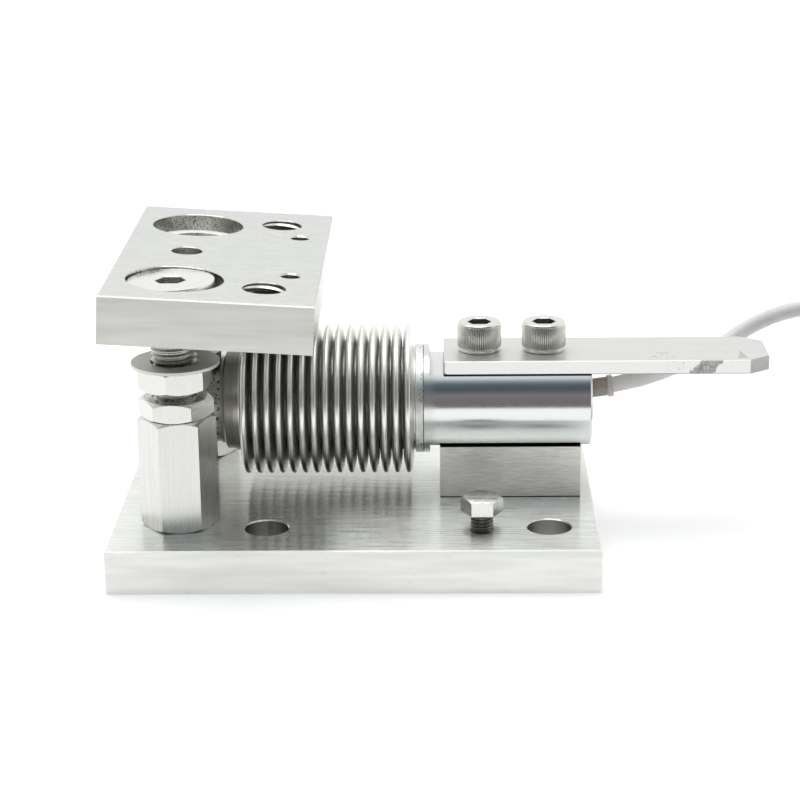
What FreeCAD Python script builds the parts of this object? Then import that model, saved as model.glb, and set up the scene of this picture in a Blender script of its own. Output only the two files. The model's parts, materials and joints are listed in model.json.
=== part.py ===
import FreeCAD, Part
import math
import os

# Bellows weighing module, in millimetres. The origin is the centre of the base plate's underside.
# +X runs along the load cell from its load end to its clamped end, -Y is the front, +Z is up.

# Fits that many pieces share
screw_clearance = 0.1       # round a screw in its tapped hole, on the radius
slip_clearance = 0.05       # round a turned piece in its seat, on the radius
passage_clearance = 0.5     # round a screw that passes through a piece, on the radius
tapping_runout = 2.0        # blind tapped hole, deeper than its screw

# Base plate
base_length = 172.0
base_depth = 137.0
base_thickness = 16.0
base_edge = 0.5             # chamfer along the top edges
base_hole_diameter = 15.5
base_hole_spacing_x = 100.0
base_hole_spacing_y = 92.0
base_hole_inset = 17.3      # right-hand holes, from the plate's right edge
base_hole_edge = 0.4        # chamfer round each hole

# Load cell, laid out along X from the base plate's left edge
load_inset = 23.6           # load axis, from the base plate's left edge
load_arm = 12.7             # load axis to the first weld ring
load_end_length = 26.8      # load end, past the weld ring
load_end_diameter = 31.0
flat_distance = 26.6        # across the flats of the clamped end; the load end has its upper flat only
load_ring_width = 5.1
load_ring_diameter = 36.2
load_ring_nose = 1.0        # thin lip at the load end's side
load_ring_nose_wall = 0.5
load_ring_bevel = 0.9       # from the lip up to the ring
clamp_ring_width = 3.3
clamp_ring_diameter = 39.8
clamp_ring_edge = 0.4
shoulder_width = 2.0        # full round, between the clamp ring and the flats
clamp_end_length = 58.8     # along the flats
clamp_end_diameter = 40.0
clamp_end_edge = 0.7

# Bending beam inside the bellows
beam_height = 24.0
beam_width = 15.0
flexure_hole_diameter = 15.0
flexure_hole_spacing = 26.0
flexure_slot = 4.0
spigot_length = 3.0         # round seat that reaches into the bellows
gauge_length = 8.0
gauge_width = 5.0
gauge_thickness = 0.25
wire_bundle_diameter = 2.4
wire_channel_clearance = 0.3
wire_tail = 1.6             # wires standing into the cable cavity

# Bellows
bellows_diameter = 54.8
root_diameter = 37.6
bellows_wall = 0.45
convolutions = 15
pitch = 4.22
root_radius = 0.3
flank_top_width = 1.7       # across a convolution, just below its crest
flank_top_depth = 0.6
flank_mid_width = 3.0       # across it where the flanks straighten
flank_mid_depth = 2.9
cuff_length = 2.2           # plain tube between the load ring and the first convolution
clamp_cuff_length = 0.3     # and between the last convolution and the clamp ring

# Cable outlet in the clamped end
cavity_diameter = 22.0
cavity_depth = 8.5
plug_thickness = 3.0
plug_recess = 0.5
board_height = 14.0
board_width = 12.0
board_thickness = 1.2
outlet_rise = 3.0           # start of the cable's jacket, above the cell's axis
outlet_tilt = 7.0           # degrees, upward
outlet_run = 20.0           # straight start of the cable
sleeve_length = 12.1
sleeve_diameter = 7.0
sleeve_rim_diameter = 8.0
sleeve_rim_length = 2.0
cable_diameter = 6.0
core_diameter = 1.3
core_pitch = 2.2            # between neighbouring cores inside the jacket
arc_share = 0.45            # of a straight run, given to the arc at each of its ends

# Spacer block, clamp bar and clamp screws
block_inset = 3.7           # from the clamped end's left shoulder
block_length = 51.2
block_width = 31.4
block_height = 20.0
block_edge = 0.2
block_seat_rise = 0.3       # seat under the load cell, above the block's rim
block_seat_inset = 5.0      # rim round the seat
bar_inset = 5.2
bar_length = 117.7
bar_width = 30.4
bar_thickness = 5.2
bar_edge = 0.3              # chamfer along the top edges
bar_foot_edge = 0.4         # chamfer along the lower long edges
bar_corner_length = 7.4     # cut corners at the free end
bar_corner_width = 5.5
bar_nose_radius = 1.4       # rounded lower edge at the clamped end
clamp_screw_inset = 18.3
clamp_screw_spacing = 23.5
clamp_screw_diameter = 10.0
clamp_screw_reach = 13.2    # screwed into the base plate
clamp_head_diameter = 16.0
clamp_head_height = 10.9
clamp_socket = 8.0
clamp_socket_depth = 5.0
clamp_head_edge = 0.8
clamp_head_foot = 0.5       # bevel under the head

# Load pin
pin_shank_diameter = 12.0
pin_shank_length = 20.0
pin_collar_diameter = 25.0
pin_collar_height = 6.0
pin_neck_diameter = 15.0
ball_radius = 10.0
ball_rise = 19.7            # ball centre above the load end's flat
seat_clearance = 0.1        # between the ball and its socket
seat_rise = 6.5             # top plate's underside above the ball centre

# Top plate, drawn level and then rocked about the ball centre
plate_length = 73.0
plate_depth = 134.0
plate_thickness = 17.0
plate_edge = 0.5
plate_offset = 13.35        # plate centre, to the right of the load axis
rest_tilt = 3.5             # degrees, right-hand side down
centre_hole_diameter = 11.2
stay_spacing = 80.0
counterbore_diameter = 34.0
counterbore_depth = 6.0
stay_hole_diameter = 24.0
large_thread_diameter = 15.0   # at half the depth of its thread
large_thread_spacing = 93.0
large_thread_offset = 31.4  # to the right of the load axis
large_thread_mouth = 0.2     # countersink, on the radius
small_hole_diameter = 6.8
small_hole_spacing = 56.0
small_hole_offset = 39.2
small_hole_mouth = 0.6
hole_edge = 0.3

# Stay screw and what is on it
stay_diameter = 16.0
stay_head_diameter = 30.5
stay_head_height = 3.5
stay_head_edge = 0.4
stay_play = 2.2             # head above the counterbore's floor, with the plate level
stay_socket = 10.0
stay_socket_depth = 6.0
stay_reach = 18.0           # screwed into the standoff
jam_nut_flats = 23.2
lower_nut_height = 7.0
upper_nut_height = 8.6
lower_nut_turn = -0.5       # degrees
upper_nut_turn = 23.0
upper_nut_gap = 3.1         # between the two nuts
washer_diameter = 31.0
washer_bore = 17.5
washer_thickness = 1.1
washer_shift = 0.45         # to the right, within the play of its bore

# Standoffs
standoff_flats = 24.0
standoff_height = 40.5
front_standoff_turn = 8.5   # degrees
rear_standoff_turn = 0.0
standoff_screw_diameter = 10.0
standoff_screw_reach = 10.0
countersunk_diameter = 19.0
countersunk_recess = 0.4    # head below the base plate's underside
countersunk_socket = 6.0
countersunk_socket_depth = 3.5

# Ground bolt
ground_x = 44.9
ground_y = -48.6
ground_diameter = 8.0
ground_flats = 13.0
ground_head_height = 5.4
ground_lift = 7.1           # underside of the head above the base plate
ground_reach = 10.0
hex_bevel_angle = 30.0      # degrees, on hexagon corners
hex_bevel_share = 0.97      # round face at a hexagon's end, over its flats

# Cable lead: its middle line from its straight start to the coil, as hand-set steps from the outlet. Each step
# has the way along X, the way along Y, and the height over the coil's top layer as a share of the outlet's.
cable_route = [
    (39.9, 16.4, 1.177),
    (50.5, 24.6, 1.203),
    (62.6, 31.5, 1.43),
    (75.4, 31.8, 1.653),
    (89.7, 32.5, 1.743),
    (103.7, 33.3, 1.617),
    (114.7, 33.6, 1.33),
    (121.4, 33.6, 0.943),
    (126.9, 33.4, 0.53),
    (135.8, 32.6, 0.25),
    (148.1, 30.5, 0.077),
]
# Steps of the tail from the coil's centre, with the height over the floor as a share of the coil's
tail_route = [
    (44.4, -3.5, 0.6),
    (44.2, -14.5, 0.1),
    (42.1, -25.2, 0.0),
]
coil_offset = (145.9, -14.0)    # coil's centre from the outlet
coil_entry_angle = 70.0         # degrees, where the lead joins the top layer
coil_exit_angle = 10.0          # degrees, where the tail leaves the bottom layer
coil_mid_diameter = 68.0
coil_layers = 4
coil_turns_per_layer = 2.9
coil_turn_pitch = 6.2
coil_layer_pitch = 6.1
coil_rounding = 2.4         # of the coil's four rims
tie_thickness = 0.7
tie_width = 3.0
tie_clearance = 0.3
tie_angle = 200.0           # degrees round the coil
core_spread = 14.0          # degrees between neighbouring bare cores
core_length = 27.0
core_bend_share = 0.35      # of a bare core, up to its bend
core_gap = 0.3              # between the jacket's ends and the bare cores

X = FreeCAD.Vector(1, 0, 0)
Y = FreeCAD.Vector(0, 1, 0)
Z = FreeCAD.Vector(0, 0, 1)

# Places worked out from the sizes above
base_left = -base_length / 2
load_x = base_left + load_inset
load_ring_x = load_x + load_arm
cuff_x = load_ring_x + load_ring_width
bellows_x = cuff_x + cuff_length
clamp_cuff_x = bellows_x + convolutions * pitch
clamp_ring_x = clamp_cuff_x + clamp_cuff_length
shoulder_x = clamp_ring_x + clamp_ring_width
clamp_end_x = shoulder_x + shoulder_width
end_face_x = clamp_end_x + clamp_end_length
axis_z = base_thickness + block_height + flat_distance / 2
flat_z = axis_z + flat_distance / 2
bar_top_z = flat_z + bar_thickness
clamp_screw_x = [clamp_end_x + clamp_screw_inset, clamp_end_x + clamp_screw_inset + clamp_screw_spacing]
ball_centre = FreeCAD.Vector(load_x, 0, flat_z + ball_rise)
plate_bottom_z = ball_centre.z + seat_rise
plate_top_z = plate_bottom_z + plate_thickness
counterbore_z = plate_top_z - counterbore_depth
stay_head_z = counterbore_z + stay_play
standoff_top_z = base_thickness + standoff_height
upper_nut_z = standoff_top_z + lower_nut_height + upper_nut_gap
stay_y = [-stay_spacing / 2, stay_spacing / 2]
plug_x = end_face_x - plug_recess - plug_thickness
outlet = FreeCAD.Vector(plug_x, 0, axis_z + outlet_rise)
outlet_direction = FreeCAD.Vector(math.cos(math.radians(outlet_tilt)), 0, math.sin(math.radians(outlet_tilt)))
wire_y = beam_width / 2 + wire_channel_clearance + wire_bundle_diameter / 2
coil_x = plug_x + coil_offset[0]
coil_y = coil_offset[1]


def vec(x, y, z):
    return FreeCAD.Vector(x, y, z)


def box(x_range, y_range, z_range):
    size = [high - low for low, high in (x_range, y_range, z_range)]
    return Part.makeBox(*size, vec(x_range[0], y_range[0], z_range[0]))


def upright(diameter, x, y, z_low, z_high):
    """Vertical cylinder."""
    return Part.makeCylinder(diameter / 2, z_high - z_low, vec(x, y, z_low))


def along_x(diameter, x_low, x_high, y=0.0, z=axis_z):
    """Cylinder along X, on the load cell's axis unless told otherwise."""
    return Part.makeCylinder(diameter / 2, x_high - x_low, vec(x_low, y, z), X)


def mouth(core, widening, x, y, z_top):
    """Cone that opens the top of a hole at 45 degrees."""
    return Part.makeCone(core / 2, core / 2 + widening, widening, vec(x, y, z_top - widening))


def hexagon(across_flats, x, y, z_low, z_high, turn=0.0):
    """Hexagon prism with one flat towards -Y at no turn."""
    radius = across_flats / math.sqrt(3)
    corners = []
    for n in range(7):
        angle = math.radians(60 * n + turn)
        corners.append(vec(x + radius * math.cos(angle), y + radius * math.sin(angle), z_low))
    return Part.Face(Part.makePolygon(corners)).extrude(vec(0, 0, z_high - z_low))


def bevelled_hexagon(across_flats, x, y, z_low, z_high, turn, bevel_bottom=True):
    """Hexagon prism whose corners are turned off at the top, and at the bottom if asked."""
    corner = across_flats / math.sqrt(3)
    flat = across_flats / 2 * hex_bevel_share
    drop = (corner - flat) * math.tan(math.radians(hex_bevel_angle))
    outline = [vec(0, 0, z_low)]
    if bevel_bottom:
        outline += [vec(flat, 0, z_low), vec(corner, 0, z_low + drop)]
    else:
        outline += [vec(corner, 0, z_low)]
    outline += [vec(corner, 0, z_high - drop), vec(flat, 0, z_high), vec(0, 0, z_high), vec(0, 0, z_low)]
    turned = Part.Face(Part.makePolygon(outline)).revolve(vec(0, 0, 0), Z, 360)
    turned.translate(vec(x, y, 0))
    return hexagon(across_flats, x, y, z_low, z_high, turn).common(turned)


def round_about_axis(outline):
    """Solid turned about the load cell's axis from (x, radius) points."""
    points = [vec(x, 0, axis_z + radius) for x, radius in outline]
    return Part.Face(Part.makePolygon(points + points[:1])).revolve(vec(0, 0, axis_z), X, 360)


def bevel_edges(solid, size, keep):
    """Chamfer on the straight edges whose middle passes the test."""
    edges = [edge for edge in solid.Edges if keep(edge.CenterOfMass)]
    return solid.makeChamfer(size, edges)


def make_base_plate():
    """Base plate with fixing holes, tapped holes and the countersinks of the standoff screws."""
    plate = box((base_left, -base_left), (-base_depth / 2, base_depth / 2), (0, base_thickness))
    plate = bevel_edges(plate, base_edge, lambda middle: middle.z > base_thickness - base_edge / 2)
    hole_x = -base_left - base_hole_inset
    holes = []
    for x in (hole_x, hole_x - base_hole_spacing_x):
        for y in (-base_hole_spacing_y / 2, base_hole_spacing_y / 2):
            holes.append(upright(base_hole_diameter, x, y, 0, base_thickness))
            holes.append(mouth(base_hole_diameter, base_hole_edge, x, y, base_thickness))
    for x in clamp_screw_x:
        holes.append(upright(clamp_screw_diameter + 2 * screw_clearance, x, 0, 0, base_thickness))
    for y in stay_y:
        holes.append(upright(standoff_screw_diameter + 2 * passage_clearance, load_x, y, 0, base_thickness))
        holes.append(countersink(y))
    ground_floor = base_thickness - ground_reach - tapping_runout
    ground_hole = ground_diameter + 2 * screw_clearance
    holes.append(upright(ground_hole, ground_x, ground_y, ground_floor, base_thickness))
    return plate.cut(holes)


def countersink(y):
    """Room for a countersunk head, open to the base plate's underside."""
    depth = countersunk_diameter / 2 + countersunk_recess + screw_clearance
    return Part.makeCone(depth, 0, depth, vec(load_x, y, 0))


def make_standoff_screws():
    """Countersunk screws that hold the standoffs from below."""
    screws = []
    head = (countersunk_diameter - standoff_screw_diameter) / 2
    for y in stay_y:
        top = base_thickness + standoff_screw_reach
        shank = upright(standoff_screw_diameter, load_x, y, countersunk_recess + head, top)
        cone = Part.makeCone(countersunk_diameter / 2, standoff_screw_diameter / 2, head,
                             vec(load_x, y, countersunk_recess))
        socket_top = countersunk_recess + countersunk_socket_depth
        socket = hexagon(countersunk_socket, load_x, y, countersunk_recess, socket_top)
        screws.append(shank.fuse(cone).removeSplitter().cut(socket))
    return Part.makeCompound(screws)


def make_standoff(y, turn):
    """Hexagon pillar, tapped from both ends."""
    pillar = bevelled_hexagon(standoff_flats, load_x, y, base_thickness, standoff_top_z, turn)
    top_hole = upright(stay_diameter + 2 * screw_clearance, load_x, y,
                       standoff_top_z - stay_reach - tapping_runout, standoff_top_z)
    bottom_hole = upright(standoff_screw_diameter + 2 * screw_clearance, load_x, y,
                          base_thickness, base_thickness + standoff_screw_reach + tapping_runout)
    return pillar.cut([top_hole, bottom_hole])


def make_spacer_block():
    """Ground block with a raised seat for the clamped end."""
    left = clamp_end_x + block_inset
    right = left + block_length
    half = block_width / 2
    seat_z = base_thickness + block_height
    rim_z = seat_z - block_seat_rise
    block = box((left, right), (-half, half), (base_thickness, rim_z))
    block = bevel_edges(block, block_edge, lambda middle: middle.z > rim_z - block_edge / 2)
    seat = box((left + block_seat_inset, right - block_seat_inset),
               (block_seat_inset - half, half - block_seat_inset), (rim_z, seat_z))
    passage = clamp_screw_diameter + 2 * passage_clearance
    return block.fuse(seat).cut([upright(passage, x, 0, base_thickness, seat_z) for x in clamp_screw_x])


def make_load_cell_body():
    """One-piece spring body: load end, bending beam, spigot and clamped end."""
    load_end_x = load_ring_x - load_end_length
    load_end = along_x(load_end_diameter, load_end_x, cuff_x)
    clamp_edge_x = end_face_x - clamp_end_edge
    clamp_end = along_x(clamp_end_diameter, shoulder_x, clamp_edge_x)
    rim = Part.makeCone(clamp_end_diameter / 2, clamp_end_diameter / 2 - clamp_end_edge, clamp_end_edge,
                        vec(clamp_edge_x, 0, axis_z), X)
    spigot_x = clamp_ring_x - spigot_length
    spigot = along_x(load_end_diameter, spigot_x, clamp_end_x)
    beam = box((cuff_x, spigot_x), (-beam_width / 2, beam_width / 2),
               (axis_z - beam_height / 2, axis_z + beam_height / 2))
    body = load_end.fuse([clamp_end, rim, spigot, beam])
    above = (axis_z + flat_distance / 2, axis_z + clamp_end_diameter)
    below = (axis_z - clamp_end_diameter, axis_z - flat_distance / 2)
    across = (-clamp_end_diameter, clamp_end_diameter)
    cuts = [
        box((load_end_x, load_ring_x), across, above),
        box((clamp_end_x, end_face_x), across, above),
        box((clamp_end_x, end_face_x), across, below),
    ]
    for x in flexure_x():
        start = vec(x, -beam_width / 2, axis_z)
        cuts.append(Part.makeCylinder(flexure_hole_diameter / 2, beam_width, start, Y))
    cuts.append(box(flexure_x(), (-beam_width / 2, beam_width / 2),
                    (axis_z - flexure_slot / 2, axis_z + flexure_slot / 2)))
    passage = clamp_screw_diameter + 2 * passage_clearance
    cuts += [upright(passage, x, 0, axis_z - flat_distance, axis_z + flat_distance) for x in clamp_screw_x]
    pin_hole = pin_shank_diameter + 2 * slip_clearance
    cuts.append(upright(pin_hole, load_x, 0, axis_z - flat_distance, axis_z + flat_distance))
    cavity_x = end_face_x - cavity_depth
    cuts.append(along_x(cavity_diameter, cavity_x, end_face_x))
    channel = wire_bundle_diameter + 2 * wire_channel_clearance
    cuts.append(along_x(channel, spigot_x, cavity_x, wire_y))
    return body.cut(cuts).removeSplitter()


def flexure_x():
    """Middles of the two flexure holes."""
    middle = (cuff_x + clamp_ring_x - spigot_length) / 2
    return middle - flexure_hole_spacing / 2, middle + flexure_hole_spacing / 2


def make_strain_gauges():
    """Four foil gauges over the thin spots of the beam."""
    gauges = []
    for x in flexure_x():
        for z in (axis_z + beam_height / 2, axis_z - beam_height / 2 - gauge_thickness):
            gauges.append(box((x - gauge_length / 2, x + gauge_length / 2),
                              (-gauge_width / 2, gauge_width / 2), (z, z + gauge_thickness)))
    return Part.makeCompound(gauges)


def make_gauge_wires():
    """Bundle of gauge wires along the beam, through the channel into the cable cavity."""
    cavity_x = end_face_x - cavity_depth
    return along_x(wire_bundle_diameter, flexure_x()[0], cavity_x + wire_tail, wire_y)


def make_terminal_board():
    """Small solder board on the floor of the cable cavity."""
    cavity_x = end_face_x - cavity_depth
    return box((cavity_x, cavity_x + board_thickness), (-board_width / 2, board_width / 2),
               (axis_z - board_height / 2, axis_z + board_height / 2))


def core_places():
    """Offsets of the four cores from the cable's middle line."""
    step = core_pitch / 2
    return [(-step, -step), (-step, step), (step, step), (step, -step)]


def make_lead_cores():
    """Cores between the board and the end of the cable's jacket."""
    board_x = end_face_x - cavity_depth + board_thickness
    cores = [along_x(core_diameter, board_x, plug_x - core_gap, y, outlet.z + z) for y, z in core_places()]
    return Part.makeCompound(cores)


def along_outlet(diameter, start, end):
    """Cylinder along the cable's straight start, between two distances from the outlet."""
    return Part.makeCylinder(diameter / 2, end - start, outlet + outlet_direction * start, outlet_direction)


def make_cavity_plug():
    """Disc that closes the cable cavity, with the sleeve's seat in it."""
    disc = along_x(cavity_diameter - 2 * slip_clearance, plug_x, plug_x + plug_thickness)
    return disc.cut(along_outlet(sleeve_diameter + 2 * slip_clearance, -plug_thickness, 2 * plug_thickness))


def make_cable_sleeve():
    """Strain relief with a rim at its mouth."""
    tube = along_outlet(sleeve_diameter, 0, sleeve_length)
    rim = along_outlet(sleeve_rim_diameter, sleeve_length - sleeve_rim_length, sleeve_length)
    bore = along_outlet(cable_diameter + 2 * screw_clearance, 0, sleeve_length)
    return tube.fuse(rim).removeSplitter().cut(bore)


def make_clamp_end_ring():
    """Weld ring between the bellows and the clamped end."""
    outer = clamp_ring_diameter / 2
    inner = load_end_diameter / 2 + slip_clearance
    low = clamp_ring_x
    high = shoulder_x
    edge = clamp_ring_edge
    return round_about_axis([(low, inner), (low, outer - edge), (low + edge, outer),
                             (high - edge, outer), (high, outer - edge), (high, inner)])


def make_load_end_ring():
    """Weld ring between the bellows and the load end, with a thin lip that reaches over the load end."""
    inner = load_end_diameter / 2 + slip_clearance
    lip = inner + load_ring_nose_wall
    nose_x = load_ring_x + load_ring_nose
    outer = load_ring_diameter / 2
    return round_about_axis([(load_ring_x, inner), (load_ring_x, lip), (nose_x, lip),
                             (nose_x + load_ring_bevel, outer), (cuff_x, outer), (cuff_x, inner)])


def bellows_side(inset):
    """Edges of one side of the bellows' wall, left to right, set in from the outer surface."""
    crest = bellows_diameter / 2 - inset
    root = root_diameter / 2 - inset
    gap = root_radius + inset
    half_top = flank_top_width / 2 - inset
    half_mid = flank_mid_width / 2 - inset
    top_r = bellows_diameter / 2 - flank_top_depth
    mid_r = bellows_diameter / 2 - flank_mid_depth
    foot_r = root + gap

    def at(x, radius):
        return vec(x, 0, axis_z + radius)

    edges = [Part.makeLine(at(cuff_x, root), at(bellows_x, root))]
    slope = gap * math.sqrt(0.5)
    for n in range(convolutions):
        left = bellows_x + n * pitch
        middle = left + pitch / 2
        right = left + pitch
        stations = [
            (at(left, root), at(left + slope, foot_r - slope), at(left + gap, foot_r)),
            (at(left + gap, foot_r), at(middle - half_mid, mid_r), at(middle - half_top, top_r)),
            (at(middle - half_top, top_r), at(middle, crest), at(middle + half_top, top_r)),
            (at(middle + half_top, top_r), at(middle + half_mid, mid_r), at(right - gap, foot_r)),
            (at(right - gap, foot_r), at(right - slope, foot_r - slope), at(right, root)),
        ]
        edges += [Part.Arc(*points).toShape() for points in stations]
    edges.append(Part.makeLine(at(clamp_cuff_x, root), at(clamp_ring_x, root)))
    return edges


def make_bellows():
    """Thin corrugated tube between the two weld rings."""
    outer = bellows_side(0.0)
    inner = bellows_side(bellows_wall)
    ends = []
    for x in (cuff_x, clamp_ring_x):
        ends.append(Part.makeLine(vec(x, 0, axis_z + root_diameter / 2 - bellows_wall),
                                  vec(x, 0, axis_z + root_diameter / 2)))
    outline = Part.Wire(Part.__sortEdges__(outer + inner + ends))
    return Part.Face(outline).revolve(vec(0, 0, axis_z), X, 360)


def make_clamp_bar():
    """Flat bar with a rounded lower edge at the clamp and cut corners at its free end."""
    left = clamp_end_x + bar_inset
    right = left + bar_length
    half = bar_width / 2
    cut_x = right - bar_corner_length
    cut_y = half - bar_corner_width
    corners = [(left, -half), (cut_x, -half), (right, -cut_y), (right, cut_y), (cut_x, half), (left, half),
               (left, -half)]
    outline = Part.makePolygon([vec(x, y, flat_z) for x, y in corners])
    bar = Part.Face(outline).extrude(vec(0, 0, bar_thickness))
    nose = [edge for edge in bar.Edges
            if abs(edge.CenterOfMass.x - left) < 1e-6 and abs(edge.CenterOfMass.z - flat_z) < 1e-6]
    bar = bar.makeFillet(bar_nose_radius, nose)
    bar = bevel_edges(bar, bar_edge, lambda middle: middle.z > bar_top_z - bar_edge / 2)
    bar = bevel_edges(bar, bar_foot_edge,
                      lambda middle: abs(middle.y) > half - 1e-6 and middle.z < flat_z + 1e-6)
    passage = clamp_screw_diameter + 2 * passage_clearance
    return bar.cut([upright(passage, x, 0, flat_z, bar_top_z) for x in clamp_screw_x])


def make_clamp_screws():
    """Socket cap screws from the bar down into the base plate."""
    screws = []
    for x in clamp_screw_x:
        shank = upright(clamp_screw_diameter, x, 0, base_thickness - clamp_screw_reach, bar_top_z)
        top = bar_top_z + clamp_head_height
        radius = clamp_head_diameter / 2
        foot = Part.makeCone(radius - clamp_head_foot, radius, clamp_head_foot, vec(x, 0, bar_top_z))
        head = upright(clamp_head_diameter, x, 0, bar_top_z + clamp_head_foot, top - clamp_head_edge)
        crown = Part.makeCone(radius, radius - clamp_head_edge, clamp_head_edge,
                              vec(x, 0, top - clamp_head_edge))
        socket = hexagon(clamp_socket, x, 0, top - clamp_socket_depth, top)
        screws.append(shank.fuse([foot, head, crown]).removeSplitter().cut(socket))
    return Part.makeCompound(screws)


def make_load_pin():
    """Pin in the load end's hole, with a collar on the flat and a ball on top."""
    shank = upright(pin_shank_diameter, load_x, 0, flat_z - pin_shank_length, flat_z)
    collar = upright(pin_collar_diameter, load_x, 0, flat_z, flat_z + pin_collar_height)
    neck = upright(pin_neck_diameter, load_x, 0, flat_z + pin_collar_height, ball_centre.z)
    ball = Part.makeSphere(ball_radius, ball_centre)
    return shank.fuse([collar, neck, ball]).removeSplitter()


def make_top_plate():
    """Load plate with its ball socket, counterbored stay holes and threaded holes, rocked to its rest."""
    left = load_x + plate_offset - plate_length / 2
    plate = box((left, left + plate_length), (-plate_depth / 2, plate_depth / 2),
                (plate_bottom_z, plate_top_z))
    plate = bevel_edges(plate, plate_edge, lambda middle: middle.z > plate_top_z - plate_edge / 2)
    cuts = [Part.makeSphere(ball_radius + seat_clearance, ball_centre)]
    cuts.append(upright(centre_hole_diameter, load_x, 0, plate_bottom_z, plate_top_z))
    cuts.append(mouth(centre_hole_diameter, hole_edge, load_x, 0, plate_top_z))
    for y in stay_y:
        cuts.append(upright(stay_hole_diameter, load_x, y, plate_bottom_z, plate_top_z))
        cuts.append(upright(counterbore_diameter, load_x, y, counterbore_z, plate_top_z))
        cuts.append(mouth(counterbore_diameter, hole_edge, load_x, y, plate_top_z))
    for diameter, widening, spacing, offset in (
            (large_thread_diameter, large_thread_mouth, large_thread_spacing, large_thread_offset),
            (small_hole_diameter, small_hole_mouth, small_hole_spacing, small_hole_offset)):
        for y in (-spacing / 2, spacing / 2):
            cuts.append(upright(diameter, load_x + offset, y, plate_bottom_z, plate_top_z))
            cuts.append(mouth(diameter, widening, load_x + offset, y, plate_top_z))
    plate = plate.cut(cuts)
    plate.rotate(ball_centre, Y, rest_tilt)
    return plate


def make_stay_screw():
    """Stay screw: wide flat head in the counterbore, shank down into the front standoff."""
    y = stay_y[0]
    shank = upright(stay_diameter, load_x, y, standoff_top_z - stay_reach, stay_head_z)
    top = stay_head_z + stay_head_height
    edge_z = top - stay_head_edge
    head = upright(stay_head_diameter, load_x, y, stay_head_z, edge_z)
    rim = Part.makeCone(stay_head_diameter / 2, stay_head_diameter / 2 - stay_head_edge, stay_head_edge,
                        vec(load_x, y, edge_z))
    socket = hexagon(stay_socket, load_x, y, top - stay_socket_depth, top)
    return shank.fuse([head, rim]).removeSplitter().cut(socket)


def make_jam_nut(z_low, height, turn):
    """Thin hexagon nut on the stay screw."""
    nut = bevelled_hexagon(jam_nut_flats, load_x, stay_y[0], z_low, z_low + height, turn)
    bore = upright(stay_diameter + 2 * screw_clearance, load_x, stay_y[0], z_low, z_low + height)
    return nut.cut(bore)


def make_stay_washer():
    """Flat washer on the upper nut."""
    low = upper_nut_z + upper_nut_height
    x = load_x + washer_shift
    disc = upright(washer_diameter, x, stay_y[0], low, low + washer_thickness)
    return disc.cut(upright(washer_bore, x, stay_y[0], low, low + washer_thickness))


def make_ground_bolt():
    """Hexagon bolt left proud of the base plate."""
    head_z = base_thickness + ground_lift
    shank = upright(ground_diameter, ground_x, ground_y, base_thickness - ground_reach, head_z)
    head = bevelled_hexagon(ground_flats, ground_x, ground_y, head_z, head_z + ground_head_height, 0.0, False)
    return shank.fuse(head).removeSplitter()


def cord_tube(points, diameter, name):
    """Tube along straight runs and the largest tangent arcs that they allow. Prints its radii and volume."""
    points = [vec(*point) for point in points]
    edges = []
    start = points[0]
    radii = []
    for before, corner, after in zip(points, points[1:], points[2:]):
        back = (before - corner).normalize()
        ahead = (after - corner).normalize()
        half_turn = (math.pi - back.getAngle(ahead)) / 2
        reach = arc_share * min((before - corner).Length, (after - corner).Length)
        radius = reach / math.tan(half_turn)
        radii.append(round(radius, 1))
        inward = (back + ahead).normalize()
        sagitta = radius / math.cos(half_turn) - radius
        arc_start = corner + back * reach
        arc_end = corner + ahead * reach
        edges.append(Part.LineSegment(start, arc_start).toShape())
        edges.append(Part.Arc(arc_start, corner + inward * sagitta, arc_end).toShape())
        start = arc_end
    edges.append(Part.LineSegment(start, points[-1]).toShape())
    path = Part.Wire(edges)
    section = Part.Wire(Part.makeCircle(diameter / 2, points[0], points[1] - points[0]))
    tube = path.makePipeShell([section], True, False)
    expected = math.pi * diameter ** 2 / 4 * path.Length
    print(f"{name}: length {path.Length:.1f}, radii {radii}, volume ratio {tube.Volume / expected:.4f}")
    return tube


def coil_section():
    """Inner and outer radius, bottom and top of the wound coil."""
    half = coil_turns_per_layer * coil_turn_pitch / 2 + cable_diameter / 2
    low = tie_thickness + tie_clearance
    high = low + (coil_layers - 1) * coil_layer_pitch + cable_diameter
    return coil_mid_diameter / 2 - half, coil_mid_diameter / 2 + half, low, high


def coil_rim(angle, z):
    """Point on the middle line of the coil's outermost turn."""
    radius = coil_section()[1] - cable_diameter / 2
    turn = math.radians(angle)
    return coil_x + radius * math.cos(turn), coil_y + radius * math.sin(turn), z


def make_cable():
    """Lead from the cable cavity to the coil."""
    coil_z = coil_section()[3] - cable_diameter / 2
    points = [tuple(outlet), tuple(outlet + outlet_direction * outlet_run)]
    points += [(outlet.x + x, y, coil_z + share * (outlet.z - coil_z)) for x, y, share in cable_route]
    points.append(coil_rim(coil_entry_angle, coil_z))
    return cord_tube(points, cable_diameter, "cable")


def tail_points():
    """Middle line of the tail, from the coil's bottom layer to the end of the jacket."""
    lift = coil_section()[2]
    points = [coil_rim(coil_exit_angle, cable_diameter / 2 + lift)]
    for x, y, share in tail_route:
        points.append((coil_x + x, coil_y + y, cable_diameter / 2 + share * lift))
    return points


def make_cable_coil():
    """Outer shape of the coil that puts the rest of the lead away."""
    inner, outer, low, high = coil_section()
    profile = box((inner, outer), (0, 1), (low, high)).Faces[2]
    ring = profile.revolve(vec(0, 0, 0), Z, 360)
    rims = [edge for edge in ring.Edges if edge.Closed and isinstance(edge.Curve, Part.Circle)]
    ring = ring.makeFillet(coil_rounding, rims)
    ring.translate(vec(coil_x, coil_y, 0))
    return ring


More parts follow.
